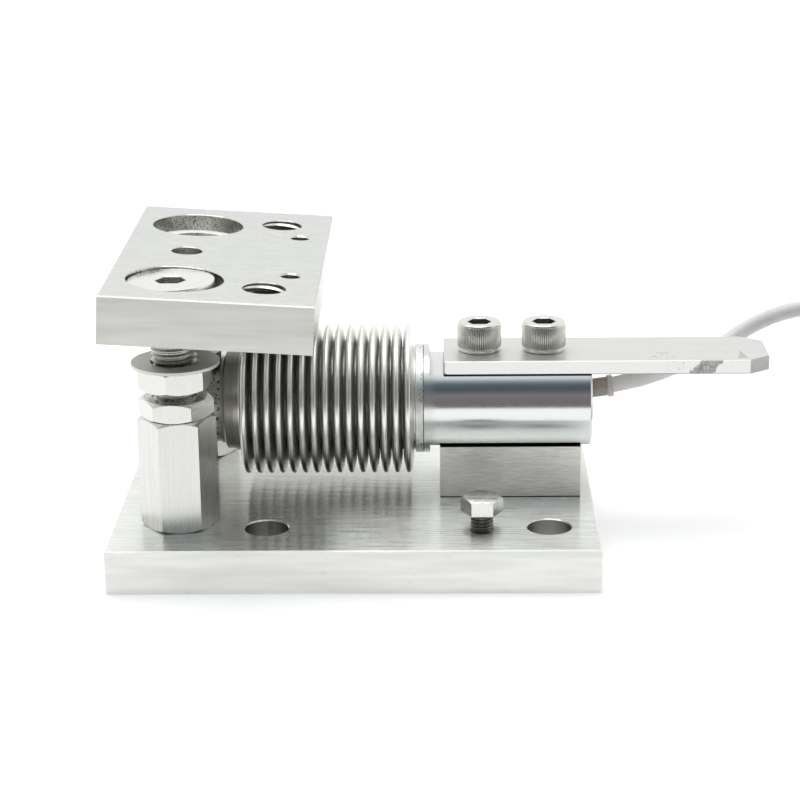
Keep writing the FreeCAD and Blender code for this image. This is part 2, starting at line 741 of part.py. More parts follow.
def make_coil_tie():
    """Band round the coil's bundle of turns."""
    inner, outer, low, high = coil_section()
    reach = (inner - tie_clearance, outer + tie_clearance)
    rise = (low - tie_clearance, high + tie_clearance)
    wide = (-tie_width / 2, tie_width / 2)
    outside = box((reach[0] - tie_thickness, reach[1] + tie_thickness), wide,
                  (rise[0] - tie_thickness, rise[1] + tie_thickness))
    band = outside.cut(box(reach, wide, rise))
    band.rotate(vec(0, 0, 0), Z, tie_angle)
    band.translate(vec(coil_x, coil_y, 0))
    return band


def make_bare_core(number):
    """One insulated core past the end of the jacket, bent down to the floor."""
    side, rise = core_places()[number]
    before, end = [vec(*point) for point in tail_points()[-2:]]
    ahead = vec(end.x - before.x, end.y - before.y, 0).normalize()
    across = Z.cross(ahead)
    middle = (len(core_places()) - 1) / 2
    angle = math.radians(core_spread * (number - middle))
    start = end + ahead * core_gap + across * side + Z * rise
    lean = ahead * math.cos(angle / 2) + across * math.sin(angle / 2)
    bend = start + lean * (core_length * core_bend_share)
    bend.z = (start.z + core_diameter / 2) / 2
    spread = ahead * math.cos(angle) + across * math.sin(angle)
    tip = bend + spread * (core_length * (1 - core_bend_share))
    tip.z = core_diameter / 2
    return cord_tube([tuple(start), tuple(bend), tuple(tip)], core_diameter, f"core {number}")


nodes = {
    "base_plate": make_base_plate(),
    "spacer_block": make_spacer_block(),
    "load_cell_body": make_load_cell_body(),
    "bellows": make_bellows(),
    "load_end_ring": make_load_end_ring(),
    "clamp_end_ring": make_clamp_end_ring(),
    "strain_gauges": make_strain_gauges(),
    "gauge_wires": make_gauge_wires(),
    "terminal_board": make_terminal_board(),
    "lead_cores": make_lead_cores(),
    "cavity_plug": make_cavity_plug(),
    "cable_sleeve": make_cable_sleeve(),
    "clamp_bar": make_clamp_bar(),
    "clamp_screws": make_clamp_screws(),
    "load_pin": make_load_pin(),
    "top_plate": make_top_plate(),
    "stay_screw": make_stay_screw(),
    "stay_washer": make_stay_washer(),
    "upper_jam_nut": make_jam_nut(upper_nut_z, upper_nut_height, upper_nut_turn),
    "lower_jam_nut": make_jam_nut(standoff_top_z, lower_nut_height, lower_nut_turn),
    "front_standoff": make_standoff(stay_y[0], front_standoff_turn),
    "rear_standoff": make_standoff(stay_y[1], rear_standoff_turn),
    "standoff_screws": make_standoff_screws(),
    "ground_bolt": make_ground_bolt(),
    "cable": make_cable(),
    "cable_coil": make_cable_coil(),
    "coil_tie": make_coil_tie(),
    "cable_tail": cord_tube(tail_points(), cable_diameter, "cable tail"),
}
for number, colour in enumerate(("red", "black", "green", "white")):
    nodes[f"{colour}_core"] = make_bare_core(number)

os.makedirs("parts", exist_ok=True)
for name, shape in nodes.items():
    shape.exportStep(f"parts/{name}.step")
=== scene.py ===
import json
import math

import bmesh
import bpy
from mathutils import Matrix, Vector


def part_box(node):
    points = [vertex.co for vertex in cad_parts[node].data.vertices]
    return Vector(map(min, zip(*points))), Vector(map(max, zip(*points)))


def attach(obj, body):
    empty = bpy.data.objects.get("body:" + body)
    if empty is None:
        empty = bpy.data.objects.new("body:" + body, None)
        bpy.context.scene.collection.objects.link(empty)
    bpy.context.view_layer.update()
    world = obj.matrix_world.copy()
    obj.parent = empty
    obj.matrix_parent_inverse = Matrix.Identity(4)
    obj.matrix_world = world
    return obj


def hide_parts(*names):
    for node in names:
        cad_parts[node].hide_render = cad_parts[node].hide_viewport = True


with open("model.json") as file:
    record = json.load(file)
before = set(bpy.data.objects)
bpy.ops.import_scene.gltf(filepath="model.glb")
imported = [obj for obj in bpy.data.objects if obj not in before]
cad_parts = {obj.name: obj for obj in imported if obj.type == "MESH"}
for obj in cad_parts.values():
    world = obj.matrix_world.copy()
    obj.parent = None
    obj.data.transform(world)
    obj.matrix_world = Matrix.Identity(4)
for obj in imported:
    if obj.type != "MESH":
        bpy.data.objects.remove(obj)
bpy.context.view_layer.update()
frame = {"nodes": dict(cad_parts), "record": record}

MM = 0.001


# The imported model

def span(node, axis):
    """Lowest and highest place of a CAD node along an axis, in millimetres."""
    return [corner["XYZ".index(axis)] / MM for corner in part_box(node)]


def extent(node):
    """Middle of a CAD node in plan as a placing, and its lowest and highest level in millimetres."""
    low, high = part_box(node)
    middle = (low + high) / 2
    return Matrix.Translation((middle.x, middle.y, 0)), low.z / MM, high.z / MM


def mount(name):
    """A mount of the record."""
    return next(entry for entry in frame["record"]["mounts"] if entry["name"] == name)


# Nodes and patterns

# Sockets of a Mix node: its two colours and their mix, then its two numbers
FROM, TO, MIXED = 6, 7, 2
FROM_NUMBER, TO_NUMBER = 2, 3


def linear(colour):
    """Linear RGBA of an sRGB hex colour."""
    parts = [int(colour[n:n + 2], 16) / 255 for n in (1, 3, 5)]
    return [c / 12.92 if c <= 0.04045 else ((c + 0.055) / 1.055) ** 2.4 for c in parts] + [1.0]


def add(tree, kind, inputs=None, out=0, **settings):
    """Adds one node and gives its output socket. Inputs are sockets to link from, hex colours or values."""
    item = tree.nodes.new("ShaderNode" + kind)
    for key, value in settings.items():
        setattr(item, key, value)
    for key, value in (inputs or {}).items():
        if isinstance(value, bpy.types.NodeSocket):
            tree.links.new(value, item.inputs[key])
        else:
            item.inputs[key].default_value = linear(value) if isinstance(value, str) else value
    return item.outputs[out] if item.outputs else None


def empty_tree(owner):
    """Node tree of a material or a world, with nothing in it."""
    owner.use_nodes = True
    owner.node_tree.nodes.clear()
    return owner.node_tree


def blank(name):
    """Material, its empty node tree, and the place on the piece at rest, in metres."""
    material = bpy.data.materials.new(name)
    tree = empty_tree(material)
    return material, tree, add(tree, "TexCoord", out="Object")


def grains(tree, where, size_mm, detail=2.0, roughness=0.5):
    """Noise whose grains measure size_mm along X, Y and Z."""
    scale = [1 / (length * MM) for length in size_mm]
    mapped = add(tree, "VectorMath", {0: where, 1: scale}, operation="MULTIPLY")
    return add(tree, "TexNoise", {"Vector": mapped, "Scale": 1.0, "Detail": detail, "Roughness": roughness})


def limits(low, high, to_low=0.0, to_high=1.0):
    """Inputs of a range that is moved into another one."""
    return {"From Min": low, "From Max": high, "To Min": to_low, "To Max": to_high}


def pits(tree, where, size_mm, amount):
    """Small marks in loose clusters; a larger amount gives more of them."""
    dots = add(tree, "MapRange", {"Value": grains(tree, where, [size_mm] * 3, 1.0), **limits(0.58, 0.66)})
    patches = grains(tree, where, [size_mm * 9] * 3, 2.0)
    cluster = add(tree, "MapRange", {"Value": patches, **limits(0.72 - amount, 0.82 - amount)})
    return add(tree, "Math", {0: dots, 1: cluster}, operation="MULTIPLY")


def facing(tree, axis):
    """How far a face looks along an axis of the part at rest, from -1 to 1."""
    return add(tree, "SeparateXYZ", {0: add(tree, "TexCoord", out="Normal")}, axis)


def between(tree, value, low_mm, high_mm, blur_mm):
    """1 where a value in metres lies between two limits, fading to 0 outside them."""
    low, high, blur = low_mm * MM, high_mm * MM, blur_mm * MM
    above = add(tree, "MapRange", {"Value": value, **limits(low - blur, low)})
    below = add(tree, "MapRange", {"Value": value, **limits(high, high + blur, 1.0, 0.0)})
    return add(tree, "Math", {0: above, 1: below}, operation="MULTIPLY")


def near_axes(tree, where, x_mm, y_mm, radius_mm):
    """1 close to the two upright axes at one X and at plus and minus one Y."""
    x, y = add(tree, "SeparateXYZ", {0: where}).node.outputs[:2]
    plan = add(tree, "CombineXYZ", {"X": x, "Y": add(tree, "Math", {0: y}, operation="ABSOLUTE")})
    away = add(tree, "VectorMath", {0: plan, 1: (x_mm * MM, y_mm * MM, 0.0)}, "Value", operation="DISTANCE")
    return add(tree, "MapRange", {"Value": away, **limits(radius_mm * MM, (radius_mm + 0.1) * MM, 1.0, 0.0)})


# Finishes

# Dark colour painted into the joints between parts, as painted shade
JOINT_OIL = "#2b2a28"
COUNTERBORE_RADIUS = 17.0


def plate_bores():
    """Bores of both plates, in pairs: X, distance to each side and a radius that takes in the wall, in
    millimetres, and the colour of painted shade on the wall."""
    base = mount("base_bolts")
    sizes = base["dims"]
    half = sizes["spacing_x_mm"] / 2
    radius = sizes["hole_r_mm"] + 0.05
    bores = [(base["pos_m"][0] / MM + x, sizes["spacing_y_mm"] / 2, radius, "#c4c4bf") for x in (-half, half)]
    # The walls of the tipped plate lean by less than this much.
    lean = 0.8
    for name in ("top_bolts", "top_small_bolts"):
        pattern = mount(name)
        sizes = pattern["dims"]
        radius = sizes["hole_r_mm"] + lean
        bores.append((pattern["pos_m"][0] / MM, sizes["pcd_mm"] / 2, radius, "#a8a8a3"))
    return bores


def counterbore_floor():
    """Middle of the rear counterbore's floor, in millimetres."""
    hole = mount("rear_stay_hole")
    return Vector(hole["pos_m"]) / MM + Vector(hole["axis"]) * hole["dims"]["length_mm"] / 2


def ground_plate_steel(name, top_dark, top_pale, side_dark, side_pale, smooth, rough):
    """Thick steel plate, surface ground along its length: satin, with fine straight lines that smear whatever
    it mirrors across them. Its milled sides are smoother, mirror the floor and have a few small pits. Its
    bores have painted shade on their walls, and its counterbores have walls rough from the cutter and a pale,
    dull floor."""
    material, tree, where = blank(name)
    # Grinding lines are about 0.05 mm wide; they are drawn several times coarser so that they show.
    lines = grains(tree, where, [20.0, 0.35, 0.35], 3.0, 0.6)
    cloud = grains(tree, where, [16.0, 7.0, 7.0], 3.0)
    streaks = add(tree, "MapRange", {"Value": lines, **limits(0.35, 0.65)})
    shade = add(tree, "Mix", {"Factor": streaks, FROM: top_dark, TO: top_pale}, MIXED, data_type="RGBA")
    dull = add(tree, "MapRange", {"Value": cloud, **limits(0.35, 0.75, 0.0, 0.5)})
    shade = add(tree, "Mix", {"Factor": dull, FROM: shade, TO: top_dark}, MIXED, data_type="RGBA")
    level = add(tree, "Math", {0: facing(tree, "Z")}, operation="ABSOLUTE")
    side = add(tree, "MapRange", {"Value": level, **limits(0.75, 0.9, 1.0, 0.0)})
    wall = add(tree, "MapRange", {"Value": level, **limits(0.3, 0.5, 1.0, 0.0)})
    smears = grains(tree, where, [34.0, 12.0, 3.5], 3.0)
    smears = add(tree, "MapRange", {"Value": smears, **limits(0.3, 0.7)})
    # The sides are painted a little lighter than the tops, as painted light.
    milled = add(tree, "Mix", {"Factor": smears, FROM: side_dark, TO: side_pale}, MIXED, data_type="RGBA")
    shade = add(tree, "Mix", {"Factor": side, FROM: shade, TO: milled}, MIXED, data_type="RGBA")
    marks = add(tree, "Math", {0: pits(tree, where, 0.6, 0.05), 1: side}, operation="MULTIPLY")
    shade = add(tree, "Mix", {"Factor": marks, FROM: shade, TO: "#8a8983"}, MIXED, data_type="RGBA")
    # The bore walls are painted darker: painted shade in the bores.
    for x, y, radius, dark in plate_bores():
        bore = add(tree, "Math", {0: near_axes(tree, where, x, y, radius), 1: wall}, operation="MULTIPLY")
        shade = add(tree, "Mix", {"Factor": bore, FROM: shade, TO: dark}, MIXED, data_type="RGBA")
    floor = counterbore_floor()
    chatter = grains(tree, where, [0.5, 0.5, 0.7], 2.0)
    chatter = add(tree, "MapRange", {"Value": chatter, **limits(0.48, 0.68)})
    for part in (near_axes(tree, where, floor.x, floor.y, COUNTERBORE_RADIUS + 0.5), wall):
        chatter = add(tree, "Math", {0: chatter, 1: part}, operation="MULTIPLY")
    shade = add(tree, "Mix", {"Factor": chatter, FROM: shade, TO: "#6f6e69"}, MIXED, data_type="RGBA")
    z = add(tree, "SeparateXYZ", {0: where}, "Z")
    flat = between(tree, z, floor.z - 1.8, floor.z + 2.2, 0.5)
    for part in (near_axes(tree, where, floor.x, floor.y, COUNTERBORE_RADIUS - 0.3), level):
        flat = add(tree, "Math", {0: flat, 1: part}, operation="MULTIPLY")
    shade = add(tree, "Mix", {"Factor": flat, FROM: shade, TO: "#f8f8f4"}, MIXED, data_type="RGBA")
    satin = add(tree, "MapRange", {"Value": lines, **limits(0.3, 0.7, smooth, rough)})
    satin = add(tree, "Mix", {"Factor": flat, FROM_NUMBER: satin, TO_NUMBER: 0.6})
    sheen = add(tree, "Mix", {"Factor": side, FROM_NUMBER: satin, TO_NUMBER: 0.24})
    depth = add(tree, "MapRange", {"Value": side, **limits(0.0, 1.0, 1.0, 0.3)})
    height = (rough - smooth) * 0.035 * MM
    relief = add(tree, "Bump", {"Strength": depth, "Height": lines, "Distance": height})
    across = add(tree, "CombineXYZ", {"Y": 1.0, "Z": 1.0})
    shader = add(tree, "BsdfPrincipled", {"Base Color": shade, "Metallic": 1.0, "Roughness": sheen,
                                          "Anisotropic": 1.0, "Tangent": across, "Normal": relief})
    add(tree, "OutputMaterial", {"Surface": shader})
    return material


def scratched_block_steel():
    """Ground steel block: duller than the plates, with bright scratches that lean a little to its grain, and
    painted shade in the joints at its foot and top."""
    material, tree, where = blank("ground_steel_block")
    foot, top = span("spacer_block", "Z")
    z = add(tree, "SeparateXYZ", {0: where}, "Z")
    # Grinding lines are about 0.05 mm wide; they are drawn several times coarser so that they show.
    lines = grains(tree, where, [6.0, 0.4, 0.4], 3.0, 0.6)
    streaks = add(tree, "MapRange", {"Value": lines, **limits(0.35, 0.65)})
    shade = add(tree, "Mix", {"Factor": streaks, FROM: "#dadad4", TO: "#f6f6f1"}, MIXED, data_type="RGBA")
    leaning = add(tree, "VectorRotate", {"Vector": where, "Angle": math.radians(5)}, rotation_type="Y_AXIS")
    # Real scratches are about 0.1 mm wide; they are drawn about three times as wide to show.
    marks = grains(tree, leaning, [4.5, 0.4, 0.28], 2.0)
    marks = add(tree, "MapRange", {"Value": marks, **limits(0.56, 0.66)})
    patches = grains(tree, where, [7.0, 7.0, 5.0], 2.0)
    patches = add(tree, "MapRange", {"Value": patches, **limits(0.38, 0.58)})
    marks = add(tree, "Math", {0: marks, 1: patches}, operation="MULTIPLY")
    shade = add(tree, "Mix", {"Factor": marks, FROM: shade, TO: "#ffffff"}, MIXED, data_type="RGBA")
    # Bands at the foot and the top are painted dark: painted shade in the joints.
    clean = between(tree, z, foot + 0.5, top - 0.7, 0.2)
    shade = add(tree, "Mix", {"Factor": clean, FROM: JOINT_OIL, TO: shade}, MIXED, data_type="RGBA")
    rough = add(tree, "MapRange", {"Value": lines, **limits(0.3, 0.7, 0.4, 0.5)})
    relief = add(tree, "Bump", {"Height": lines, "Distance": 0.01 * MM})
    shader = add(tree, "BsdfPrincipled",
                 {"Base Color": shade, "Metallic": 1.0, "Roughness": rough, "Normal": relief})
    add(tree, "OutputMaterial", {"Surface": shader})
    return material


def bar_wear(tree, where, x, z, end):
    """Where the flat bar's side is worn through: a leaning, ragged patch with specks beside it."""
    # The patch leans back, so its edges are given where they would reach the floor.
    left, right = end - 69.8, end - 61.8
    tears = grains(tree, where, [1.6, 1.6, 1.6], 4.0, 0.7)
    ragged = add(tree, "Math", {0: tears, 1: 6 * MM, 2: x}, operation="MULTIPLY_ADD")
    leaning = add(tree, "Math", {0: z, 1: -0.7, 2: ragged}, operation="MULTIPLY_ADD")
    near = between(tree, x, end - 35.4, end - 27.4, 3.0)
    specks = add(tree, "Math", {0: pits(tree, where, 0.6, 0.25), 1: near}, operation="MULTIPLY")
    return add(tree, "Math", {0: between(tree, leaning, left, right, 0.4), 1: specks}, operation="MAXIMUM")


def bar_rubs(tree, where, x, y, end, front):
    """Marks on the flat bar's top: a faintly rubbed spot, and a stain that narrows to a point."""
    rubbed = grains(tree, where, [1.6, 2.2, 2.0], 3.0, 0.7)
    rubbed = add(tree, "MapRange", {"Value": rubbed, **limits(0.54, 0.6, 0.0, 0.35)})
    spot = (between(tree, x, end - 41.9, end - 34.4, 1.5), between(tree, y, front + 3.2, front + 10.2, 2.0))
    for part in spot:
        rubbed = add(tree, "Math", {0: rubbed, 1: part}, operation="MULTIPLY")
    aside = add(tree, "Math", {0: x, 1: (end - 9.8) * MM}, operation="SUBTRACT")
    aside = add(tree, "Math", {0: aside}, operation="ABSOLUTE")
    pointed = add(tree, "Math", {0: y, 1: 0.19, 2: aside}, operation="MULTIPLY_ADD")
    sides = between(tree, pointed, -3.0, -0.6, 0.15)
    ends = between(tree, y, front + 2.4, front + 12.2, 0.2)
    stain = add(tree, "Math", {0: sides, 1: ends}, operation="MULTIPLY")
    return add(tree, "Math", {0: stain, 1: 0.45, 2: rubbed}, operation="MULTIPLY_ADD")


def rolled_bar_steel():
    """Bright rolled flat bar under a film of oil: smooth and pale with faint sharp mirror images. Near its
    free end it is worn through to dull steel on its side, and rubbed and stained on its top. Its cut corners
    are sawn dull."""
    material, tree, where = blank("rolled_steel_bar")
    end = span("clamp_bar", "X")[1]
    front = span("clamp_bar", "Y")[0]
    foot = span("clamp_bar", "Z")[0]
    x, y, z = add(tree, "SeparateXYZ", {0: where}).node.outputs
    # Rolling lines are about 0.1 mm wide; they are drawn several times coarser so that they show.
    lines = grains(tree, where, [30.0, 0.7, 0.7], 2.0)
    streaks = add(tree, "MapRange", {"Value": lines, **limits(0.35, 0.65)})
    shade = add(tree, "Mix", {"Factor": streaks, FROM: "#d6d6d4", TO: "#dededc"}, MIXED, data_type="RGBA")
    # The sides are painted a little lighter than the top, as painted light.
    upright = add(tree, "Math", {0: facing(tree, "Y")}, operation="ABSOLUTE")
    side = add(tree, "MapRange", {"Value": upright, **limits(0.5, 0.8)})
    shade = add(tree, "Mix", {"Factor": side, FROM: shade, TO: "#e3e3e0"}, MIXED, data_type="RGBA")
    above = add(tree, "MapRange", {"Value": facing(tree, "Z"), **limits(0.8, 0.9)})
    rubbed = add(tree, "Math", {0: bar_rubs(tree, where, x, y, end, front), 1: above}, operation="MULTIPLY")
    shade = add(tree, "Mix", {"Factor": rubbed, FROM: shade, TO: "#8d8c88"}, MIXED, data_type="RGBA")
    grit = grains(tree, where, [0.6, 0.6, 0.6], 3.0, 0.7)
    bare = add(tree, "MapRange", {"Value": grit, **limits(0.35, 0.65)})
    bare = add(tree, "Mix", {"Factor": bare, FROM: "#6e6d69", TO: "#b9b8b4"}, MIXED, data_type="RGBA")
    worn = add(tree, "Math", {0: bar_wear(tree, where, x, z, end), 1: side}, operation="MULTIPLY")
    shade = add(tree, "Mix", {"Factor": worn, FROM: shade, TO: bare}, MIXED, data_type="RGBA")
    # A band along the foot of the sides is painted dark: painted shade in the joint with the body.
    joint = add(tree, "MapRange", {"Value": z, **limits((foot + 0.3) * MM, (foot + 0.4) * MM, 1.0, 0.0)})
    joint = add(tree, "Math", {0: joint, 1: upright}, operation="MULTIPLY")
    shade = add(tree, "Mix", {"Factor": joint, FROM: shade, TO: JOINT_OIL}, MIXED, data_type="RGBA")
    coarse = add(tree, "Mix", {"Factor": grit, FROM: "#8b8b88", TO: "#c4c4c1"}, MIXED, data_type="RGBA")
    sawn = add(tree, "MapRange", {"Value": facing(tree, "X"), **limits(0.3, 0.5)})
    shade = add(tree, "Mix", {"Factor": sawn, FROM: shade, TO: coarse}, MIXED, data_type="RGBA")
    satin = add(tree, "MapRange", {"Value": lines, **limits(0.3, 0.7, 0.46, 0.54)})
    rough = add(tree, "Mix", {"Factor": side, FROM_NUMBER: satin, TO_NUMBER: 0.27})
    relief = add(tree, "Bump", {"Height": lines, "Distance": 0.004 * MM})
    shader = add(tree, "BsdfPrincipled", {"Base Color": shade, "Metallic": 1.0, "Roughness": rough,
                                          "Normal": relief, "Coat Weight": 0.6, "Coat Roughness": 0.12})
    add(tree, "OutputMaterial", {"Surface": shader})
    return material


def polished_body_steel():
    """Turned and polished stainless steel: mirror bands that smear along its axis, with a faint speckle, and
    painted shade in dark bands where it is clamped. It is left satin beside the clamping ring, and dull and
    pitted at the load end. Its end faces show the rings of the lathe."""
    material, tree, where = blank("turned_stainless")
    axis_height = sum(span("bellows", "Z")) / 2
    bellows_start = span("bellows", "X")[0]
    weld = span("load_end_ring", "X")[0]
    ring_end = span("clamp_end_ring", "X")[1]
    x, y, z = add(tree, "SeparateXYZ", {0: where}).node.outputs
    specks = grains(tree, where, [1.2, 0.5, 0.5], 3.0, 0.65)
    load_end = limits((bellows_start + 0.6) * MM, (bellows_start + 1.6) * MM, 1.0, 0.0)
    dull = add(tree, "MapRange", {"Value": x, **load_end})
    near_weld = add(tree, "MapRange", {"Value": x, **limits((weld - 6.3) * MM, (weld - 1.3) * MM)})
    spots = add(tree, "Math", {0: pits(tree, where, 1.0, 0.42), 1: near_weld}, operation="MULTIPLY")
    stain = add(tree, "Mix", {"Factor": spots, FROM: "#a9a8a1", TO: "#3a322c"}, MIXED, data_type="RGBA")
    shade = add(tree, "Mix", {"Factor": dull, FROM: "#e2e4e3", TO: stain}, MIXED, data_type="RGBA")
    across = add(tree, "CombineXYZ", {"Y": y, "Z": z})
    axis = (0.0, 0.0, axis_height * MM)
    from_axis = add(tree, "VectorMath", {0: across, 1: axis}, "Value", operation="DISTANCE")
    # Lathe rings are about 0.1 mm wide; they are drawn several times wider so that they show.
    rings = grains(tree, add(tree, "CombineXYZ", {"X": from_axis}), [0.35, 1.0, 1.0], 2.0, 0.6)
    faced = add(tree, "MapRange", {"Value": rings, **limits(0.35, 0.65)})
    faced = add(tree, "Mix", {"Factor": faced, FROM: "#b7b6b1", TO: "#d4d4cf"}, MIXED, data_type="RGBA")
    endways = add(tree, "Math", {0: facing(tree, "X")}, operation="ABSOLUTE")
    cut_face = add(tree, "MapRange", {"Value": endways, **limits(0.9, 0.97)})
    shade = add(tree, "Mix", {"Factor": cut_face, FROM: shade, TO: faced}, MIXED, data_type="RGBA")
    # Bands where the block and the bar meet the body are painted dark: painted shade in the joints.
    block_top = span("spacer_block", "Z")[1]
    bar_foot = span("clamp_bar", "Z")[0]
    on_bar = (span("clamp_bar", "X")[0], span("load_cell_body", "X")[1] - 0.3)
    for low, high, (left, right) in ((block_top - 1.0, block_top + 0.5, span("spacer_block", "X")),
                                     (bar_foot - 0.3, bar_foot + 0.4, on_bar)):
        oil = between(tree, z, low, high, 0.2)
        oil = add(tree, "Math", {0: oil, 1: between(tree, x, left, right, 0.2)}, operation="MULTIPLY")
        shade = add(tree, "Mix", {"Factor": oil, FROM: shade, TO: JOINT_OIL}, MIXED, data_type="RGBA")
    fine = add(tree, "MapRange", {"Value": specks, **limits(0.3, 0.7, 0.17, 0.26)})
    by_ring = limits((ring_end + 2.0) * MM, (ring_end + 5.0) * MM, 1.0, 0.0)
    unpolished = add(tree, "MapRange", {"Value": x, **by_ring})
    rough = add(tree, "Mix", {"Factor": unpolished, FROM_NUMBER: fine, TO_NUMBER: 0.33})
    rough = add(tree, "Mix", {"Factor": cut_face, FROM_NUMBER: rough, TO_NUMBER: 0.4})
    relief = add(tree, "Bump", {"Height": specks, "Distance": 0.003 * MM})
    along = add(tree, "CombineXYZ", {"X": 1.0})
    shader = add(tree, "BsdfPrincipled", {"Base Color": shade, "Metallic": 1.0, "Roughness": rough,
                                          "Anisotropic": 0.8, "Tangent": along, "Normal": relief})
    add(tree, "OutputMaterial", {"Surface": shader})
    return material


def welded_ring_steel():
    """Turned stainless ring, left as welded: satin, tarnished in patches, with small pits along the weld. The
    ring at the load end is darker."""
    material, tree, where = blank("welded_stainless")
    middle = sum(span("bellows", "X")) / 2
    weld = span("clamp_end_ring", "X")[0]
    x = add(tree, "SeparateXYZ", {0: where}, "X")
    cloud = grains(tree, where, [3.0, 5.0, 5.0], 3.0, 0.6)
    tarnish = add(tree, "MapRange", {"Value": cloud, **limits(0.4, 0.65)})
    shade = add(tree, "Mix", {"Factor": tarnish, FROM: "#eeefeb", TO: "#dedfd9"}, MIXED, data_type="RGBA")
    load_side = add(tree, "MapRange", {"Value": x, **limits(middle * MM, (middle + 1.0) * MM, 1.0, 0.0)})
    shade = add(tree, "Mix", {"Factor": load_side, FROM: shade, TO: "#99998f"}, MIXED, data_type="RGBA")
    by_weld = add(tree, "MapRange", {"Value": x, **limits((weld + 0.8) * MM, (weld + 2.3) * MM)})
    spots = add(tree, "Math", {0: pits(tree, where, 0.5, 0.28), 1: by_weld}, operation="MULTIPLY")
    shade = add(tree, "Mix", {"Factor": spots, FROM: shade, TO: "#5b5953"}, MIXED, data_type="RGBA")
    rough = add(tree, "MapRange", {"Value": cloud, **limits(0.3, 0.7, 0.34, 0.48)})
    relief = add(tree, "Bump", {"Height": cloud, "Distance": 0.02 * MM})
    shader = add(tree, "BsdfPrincipled",
                 {"Base Color": shade, "Metallic": 1.0, "Roughness": rough, "Normal": relief})
    add(tree, "OutputMaterial", {"Surface": shader})
    return material


def formed_bellows_steel():
    """Thin stainless tube, formed into waves and pickled: a soft bright sheen that lights its own valleys. It
    has painted shade underneath, and is tarnished on the plain cuff by the load end's weld."""
    material, tree, where = blank("formed_stainless")
    cuff_end = span("bellows", "X")[0] + 2.0
    x = add(tree, "SeparateXYZ", {0: where}, "X")
    cloud = grains(tree, where, [3.0, 6.0, 6.0], 2.0)
    shade = add(tree, "Mix", {"Factor": cloud, FROM: "#f0f0eb", TO: "#fcfcf8"}, MIXED, data_type="RGBA")
    # Faces that look down are painted dark, as painted shade underneath.
    under = add(tree, "MapRange", {"Value": facing(tree, "Z"), **limits(-0.65, -0.3, 1.0, 0.0)})
    shade = add(tree, "Mix", {"Factor": under, FROM: shade, TO: "#6a6a65"}, MIXED, data_type="RGBA")
    cuff = add(tree, "MapRange", {"Value": x, **limits((cuff_end - 0.3) * MM, cuff_end * MM, 1.0, 0.0)})
    shade = add(tree, "Mix", {"Factor": cuff, FROM: shade, TO: "#a2a298"}, MIXED, data_type="RGBA")
    rough = add(tree, "MapRange", {"Value": cloud, **limits(0.3, 0.7, 0.28, 0.34)})
    relief = add(tree, "Bump", {"Height": cloud, "Distance": 0.002 * MM})
    shader = add(tree, "BsdfPrincipled",
                 {"Base Color": shade, "Metallic": 1.0, "Roughness": rough, "Normal": relief})
    add(tree, "OutputMaterial", {"Surface": shader})
    return material


def drawn_hexagon_steel():
    """Cold-drawn hexagon bar: bright, with straight draw lines along the pillar."""
    material, tree, where = blank("drawn_steel_hexagon")
    # Draw lines are about 0.1 mm wide; they are drawn wider so that they show.
    lines = grains(tree, where, [0.4, 0.4, 24.0], 3.0, 0.6)
    streaks = add(tree, "MapRange", {"Value": lines, **limits(0.35, 0.65)})
    shade = add(tree, "Mix", {"Factor": streaks, FROM: "#d4d5d0", TO: "#e3e4df"}, MIXED, data_type="RGBA")
    marks = pits(tree, where, 0.5, 0.02)
    shade = add(tree, "Mix", {"Factor": marks, FROM: shade, TO: "#8a8982"}, MIXED, data_type="RGBA")
    rough = add(tree, "MapRange", {"Value": lines, **limits(0.3, 0.7, 0.24, 0.34)})
    relief = add(tree, "Bump", {"Height": lines, "Distance": 0.006 * MM})
    shader = add(tree, "BsdfPrincipled",
                 {"Base Color": shade, "Metallic": 1.0, "Roughness": rough, "Normal": relief})
    add(tree, "OutputMaterial", {"Surface": shader})
    return material


def fastener_steel(name, pale, dark, rough_low, rough_high, oil=None, thread_top=0.0):
    """Machined fastener steel: an even sheen, a little cloudy from handling. Where a darker colour is given,
    the thread is darker below a height in millimetres."""
    material, tree, where = blank(name)
    cloud = grains(tree, where, [3.0, 3.0, 3.0], 2.0)
    shade = add(tree, "Mix", {"Factor": cloud, FROM: dark, TO: pale}, MIXED, data_type="RGBA")
    # Below the height the thread takes the darker colour.
    if oil:
        z = add(tree, "SeparateXYZ", {0: where}, "Z")
        below = limits((thread_top - 0.3) * MM, thread_top * MM, 1.0, 0.0)
        oily = add(tree, "MapRange", {"Value": z, **below})
        shade = add(tree, "Mix", {"Factor": oily, FROM: shade, TO: oil}, MIXED, data_type="RGBA")
    rough = add(tree, "MapRange", {"Value": cloud, **limits(0.3, 0.7, rough_low, rough_high)})
    relief = add(tree, "Bump", {"Height": cloud, "Distance": 0.001 * MM})
    shader = add(tree, "BsdfPrincipled",
                 {"Base Color": shade, "Metallic": 1.0, "Roughness": rough, "Normal": relief})
    add(tree, "OutputMaterial", {"Surface": shader})
    return material


